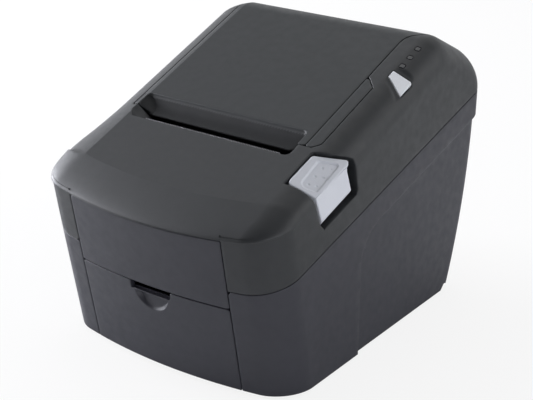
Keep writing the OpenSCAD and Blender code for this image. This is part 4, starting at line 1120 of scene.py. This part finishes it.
def tear_strip():
    """Tear-off edge along the front lip of the slot, with fine teeth."""
    half, foot_z, tip_z, pitch, depth = 42.0, 104.2, 111.15, 0.8, 0.45
    tips = [(-half + pitch * k, tip_z - depth * (k % 2)) for k in range(106)]
    V, T = plate([(-half, foot_z)] + tips + [(half, foot_z)],
                 (np.array([0, -44.5, 0]), (1, 0, 0), (0, 0, 1), (0, -1, 0)), 0.5, r=0.08, step=2.0)
    return V + np.array([0, 0.5, 0]), T


def front_door():
    """The door with its finger hollow, its ears and pins at the foot, and ribs behind it."""
    parts = [shell(*press_scoop(*SKIN), g_door, r=0.4, gap=0.18)]
    for x in (-46.5, 43.5):
        parts.append(rounded_box((x, -80.6, 9.2), (x + 3.0, -76.0, 16.8), 0.8))
        parts.append(turned([(0, 3.3), (0.2, 3.5), (2.8, 3.5), (3.0, 3.3)], (x, -79.24, 13.0), "x", 32))
    for x in (-36.0, -24.0, 24.0, 36.0):
        V, T = rounded_box((x - 0.7, -82.6, 6.0), (x + 0.7, -79.9, 44.0), 0.3)
        V[:, 1] += float(bow(x)) - (V[:, 2] - 6.0) * LEAN_T
        parts.append((V, T))
    return join(parts)


def paper_cover():
    """The cover over the roll, with the slot's wall and the grooved barrel of its hinge."""
    parts = [shell(*SKIN, g_cover, r=0.42, rim=rim_cover, inner_dir=inner_top)]
    left, right = BARREL_X
    barrel = [(left, 4.9), (-57.0, 5.5), (-56.4, BARREL_R)]
    for x in np.arange(-34, 50, 17):
        barrel += [(x - 0.6, BARREL_R), (x - 0.3, 5.45), (x + 0.3, 5.45), (x + 0.6, BARREL_R)]
    barrel += [(58.6, BARREL_R), (59.2, 5.5), (right, 4.9)]
    parts.append(turned(barrel, (0, HINGE[0], HINGE[1]), "x", 64))
    parts.append(rounded_box((left, HINGE[0] - 2.3, 115.4), (right, HINGE[0] + 2.3, 124.4), 0.3))
    return join(parts)


def paint_shade_on_slot(o):
    """Gives the slot's curved wall a darker, duller material: painted shade standing in for the shade inside
    the slot.
    """
    o.data.materials.append(SLOT_PAINTED_SHADE)
    for poly in o.data.polygons:
        _, y, z = (1000 * v for v in poly.center)
        # faces of the slot's wall below the top get the painted shade
        poly.material_index = int(-37.3 < y < -27.5 and z < plane_z(y) - 0.7)


piece("upper_cover_shell", upper_cover(), CHARCOAL, "case", ["upper_cover"])
piece("lower_case_shell", lower_case(), SLATE, "case", ["lower_case"])
piece("tear_bar_strip", tear_strip(), BLUED, "case", ["tear_bar"])
piece("front_panel_plate", shell(*SKIN, g_panel, r=0.35, gap=0.18), SLATE, "case", ["front_panel"])
piece("front_door_shell", front_door(), SLATE, "front_door", ["front_door"])
# the paper cover, with painted shade on its slot wall
paint_shade_on_slot(piece("paper_cover_shell", paper_cover(), COVER, "paper_cover", ["paper_cover"]))
piece("cover_side_tab", shell(*SKIN, from_above(COVER_TAB), r=0.3, gap=0.16), COVER, "paper_cover")

# ---- lever: a slanted top plate with a dished grip, and a side face
LEVER_N = np.array([0.4378337, -0.29075951, 0.85074118])
LEVER_N /= np.linalg.norm(LEVER_N)
LEVER_O = np.array([65.25, -46.95, 106.83])
LEVER_U = np.array([0.0, LEVER_N[2], -LEVER_N[1]])
LEVER_U /= np.linalg.norm(LEVER_U)
LEVER_V = np.cross(LEVER_N, LEVER_U)


def on_lever(points):
    """Places on the lever's top plane of points near it."""
    flat = [np.array(p, float) - LEVER_O for p in points]
    return [(float(d @ LEVER_U), float(d @ LEVER_V)) for d in flat]


LEVER_TOP = on_lever([(58.5, -60.6, 105.4), (58.5, -40.6, 112.7), (71.3, -29.4, 109.8), (72.3, -31.1, 108.2),
                      (72.3, -57.1, 99.4)])
GRIP = round_poly(on_lever([(61.4, -40.6, 111.0), (70.2, -33.6, 108.8), (70.9, -54.2, 101.4),
                            (62.6, -58.3, 104.1)]), [1.6, 1.6, 1.2, 3.4])
DIMPLES = on_lever([(65.22, -41.62, 108.66), (68.3, -39.2, 107.9), (65.27, -47.72, 106.55),
                    (68.4, -45.25, 105.8), (65.58, -53.4, 104.4), (68.7, -51.3, 103.5)])
# the side face: its outline as (y, z), and the slope of its lower edge
LEVER_SIDE = round_poly([(-57.3, 99.9), (-51.3, 84.1), (-27.2, 92.2), (-32.4, 107.0)], [0.3, 0.25, 0.5, 0.3])
LEVER_FOOT_T = 0.336


def grip_height(uv):
    """Relief of the lever's top: a shallow grip with dimples."""
    h = -0.9 * smooth(-0.1, 0.9, -sd_poly(uv, GRIP))
    for p in DIMPLES:
        r = np.hypot(uv[:, 0] - p[0], uv[:, 1] - p[1])
        h = h - 0.45 * (1 - smooth(0.15, 0.8, r))
    return h


def lower_bevel(uv):
    """Relief of the lever's side: a bevel along its lower edge."""
    line = (uv[:, 1] - (84.1 + LEVER_FOOT_T * (uv[:, 0] + 51.3))) * 0.947
    return -1.7 * (1 - np.clip(line / 2.3, 0, 1))


def lever():
    """The lever's top and side, with the arm to its pin behind them."""
    outline = round_poly(LEVER_TOP, [2.6, 2.2, 1.2, 0.5, 0.6])
    side = (np.array([72.3, 0, 0]), (0, 1, 0), (0, 0, 1), (1, 0, 0))
    at_top = lambda uv: uv[:, 1] > 99.0 + 0.27 * (uv[:, 0] + 57.1)
    parts = [plate(outline, (LEVER_O, LEVER_U, LEVER_V, LEVER_N), 3.0, r=0.6, step=0.34, height=grip_height)]
    parts.append(plate(LEVER_SIDE, side, 3.2, height=lower_bevel, sharp=at_top))
    parts.append(rounded_box((62.0, -44.0, 101.5), (65.0, -21.0, 107.0), 0.6))
    parts.append(turned([(0, 2.9), (3.0, 2.9)], (62.0, -22.0, 111.0), "x", 32))
    parts.append(rounded_box((62.0, -30.0, 104.0), (65.0, -20.0, 112.5), 0.6))
    return join(parts)


def feed_key():
    """The key, cut from the flattened seat. Its walls follow the line along which it moves."""
    along = lambda P: np.tile(KEY_AXIS, (len(P), 1))
    V, T = shell(*SKIN, from_above(KEY), r=0.35, gap=0.1, thick=KEY_THICK,
                 rim=lambda P, N: rim_plain(P, along(P), KEY_THICK), inner_dir=lambda P, N: along(P))
    return V + KEY_PROUD * KEY_PLANE[1], T


def lamp_window(y):
    """A window cut from the skin, flush with it."""
    thick = 2.0
    return shell(*SKIN, from_above(lamp_outline(y)), r=0.2, gap=0.0, thick=thick,
                 rim=lambda P, N: rim_plain(P, N, thick))


piece("lever_handle", lever(), GREY, "lever", ["lever"])
piece("feed_key_cap", feed_key(), PALE, "feed_key", ["feed_key"])
for name, y in LAMPS:
    piece(name + "_window", lamp_window(y), LENS, "case", [name])

# ---- stage
# Here lengths are in metres.


def add_camera():
    """A camera at the photograph's angle, from a perspective fit."""
    image_width, focal_px = 533.0, 1287.95
    right, up, fwd = ((0.800788, 0.59894, -0.003022), (-0.230605, 0.31297, 0.921342),
                      (-0.552774, 0.737103, -0.388741))
    place = (0.376909, -0.500854, 0.326116)
    data = bpy.data.cameras.new("camera")
    cam = bpy.data.objects.new("camera", data)
    bpy.context.scene.collection.objects.link(cam)
    cam.matrix_world = Matrix([[right[k], up[k], -fwd[k], place[k]] for k in range(3)] + [[0, 0, 0, 1]])
    data.sensor_fit = "HORIZONTAL"
    data.sensor_width = 36.0
    data.lens = focal_px / image_width * data.sensor_width
    data.clip_start = 0.01
    data.clip_end = 50.0
    bpy.context.scene.camera = cam


def area(name, place, target, size, energy, colour=(1, 1, 1)):
    """A square softbox at place, turned to target."""
    d = bpy.data.lights.new(name, "AREA")
    d.energy = energy
    d.color = colour
    d.size = size
    o = bpy.data.objects.new(name, d)
    o.location = place
    o.rotation_euler = (Vector(target) - Vector(place)).to_track_quat("-Z", "Y").to_euler()
    bpy.context.scene.collection.objects.link(o)


add_camera()
area("side softbox", (1.4, 0.5, 0.75), (0, 0, 0.07), 1.0, 4.5)
area("top softbox", (-0.2, 0.6, 1.5), (0, 0, 0.1), 1.2, 3.6)
area("left softbox", (-1.5, -0.2, 0.35), (0, 0, 0.06), 0.9, 46.0, (0.92, 0.93, 1.0))
area("low softbox", (0.95, -0.42, 0.2), (0.07, -0.03, 0.03), 0.5, 2.4, (0.93, 0.94, 1.0))

# The studio: white round the back and sides, darker behind the camera's place and overhead
FRONT = (0.6, -0.8)


def along_front(nt, vec):
    """Component of a vector towards the front right, where the studio is dark."""
    dot = add_node(nt, "VectorMath")
    dot.operation = "DOT_PRODUCT"
    dot.inputs[1].default_value = (*FRONT, 0)
    nt.links.new(vec, dot.inputs[0])
    return dot.outputs["Value"]


def camera_mix(nt, others, camera, output):
    """Shows one shader to the camera and another to every other ray."""
    path = add_node(nt, "LightPath").outputs["Is Camera Ray"]
    mix = add_node(nt, "MixShader", links={0: path, 1: others.outputs[0], 2: camera.outputs[0]})
    nt.links.new(mix.outputs[0], output.inputs["Surface"])


def add_world():
    """The studio's walls and roof as light, and plain white as background."""
    world = bpy.data.worlds.new("studio")
    bpy.context.scene.world = world
    world.use_nodes = True
    nt = world.node_tree
    nt.nodes.clear()
    co = add_node(nt, "TexCoord").outputs["Generated"]
    height = add_node(nt, "SeparateXYZ", links={0: co}).outputs["Z"]
    walls = spread(nt, along_front(nt, co), 1.0, 0.22, -0.1, 0.75, "SMOOTHSTEP")
    roof = spread(nt, height, 1.0, 0.34, 0.35, 0.8, "SMOOTHSTEP")
    level = add_node(nt, "Math", links={0: walls, 1: roof})
    level.operation = "MULTIPLY"
    shaded = add_node(nt, "Background", {"Color": (0.97, 0.98, 1.0, 1)}, {"Strength": level.outputs[0]})
    plain = add_node(nt, "Background", {"Color": (1, 1, 1, 1), "Strength": 1.0})
    camera_mix(nt, shaded, plain, add_node(nt, "OutputWorld"))


def add_floor():
    """A pale floor that keeps the shadow. For rays other than the camera's it is darker to the front."""
    mesh = bpy.data.meshes.new("floor")
    mesh.from_pydata([(-4, -4, 0), (4, -4, 0), (4, 4, 0), (-4, 4, 0)], [], [(0, 1, 2, 3)])
    floor = bpy.data.objects.new("floor", mesh)
    bpy.context.scene.collection.objects.link(floor)
    m, nt, b, co = new_material("pale floor")
    b.inputs["Roughness"].default_value = 0.7
    b.inputs["Specular IOR Level"].default_value = 0.1
    pale = ramp(nt, noise(nt, co, 3.0), (0.93, 0.93, 0.935), (0.95, 0.95, 0.955))
    nt.links.new(pale, b.inputs["Base Color"])
    glow = add_node(nt, "Emission", {"Strength": 1.0})
    seen = add_node(nt, "MixShader", {0: 0.84}, {1: b.outputs[0], 2: glow.outputs[0]})
    away = spread(nt, along_front(nt, co), 0.95, 0.34, 0.12, 0.65, "SMOOTHSTEP")
    dim = add_node(nt, "BsdfDiffuse", links={"Color": away})
    camera_mix(nt, dim, seen, [n for n in nt.nodes if n.type == "OUTPUT_MATERIAL"][0])
    mesh.materials.append(m)
    return floor


add_world()
floor = add_floor()

bpy.context.scene.view_settings.view_transform = "Standard"
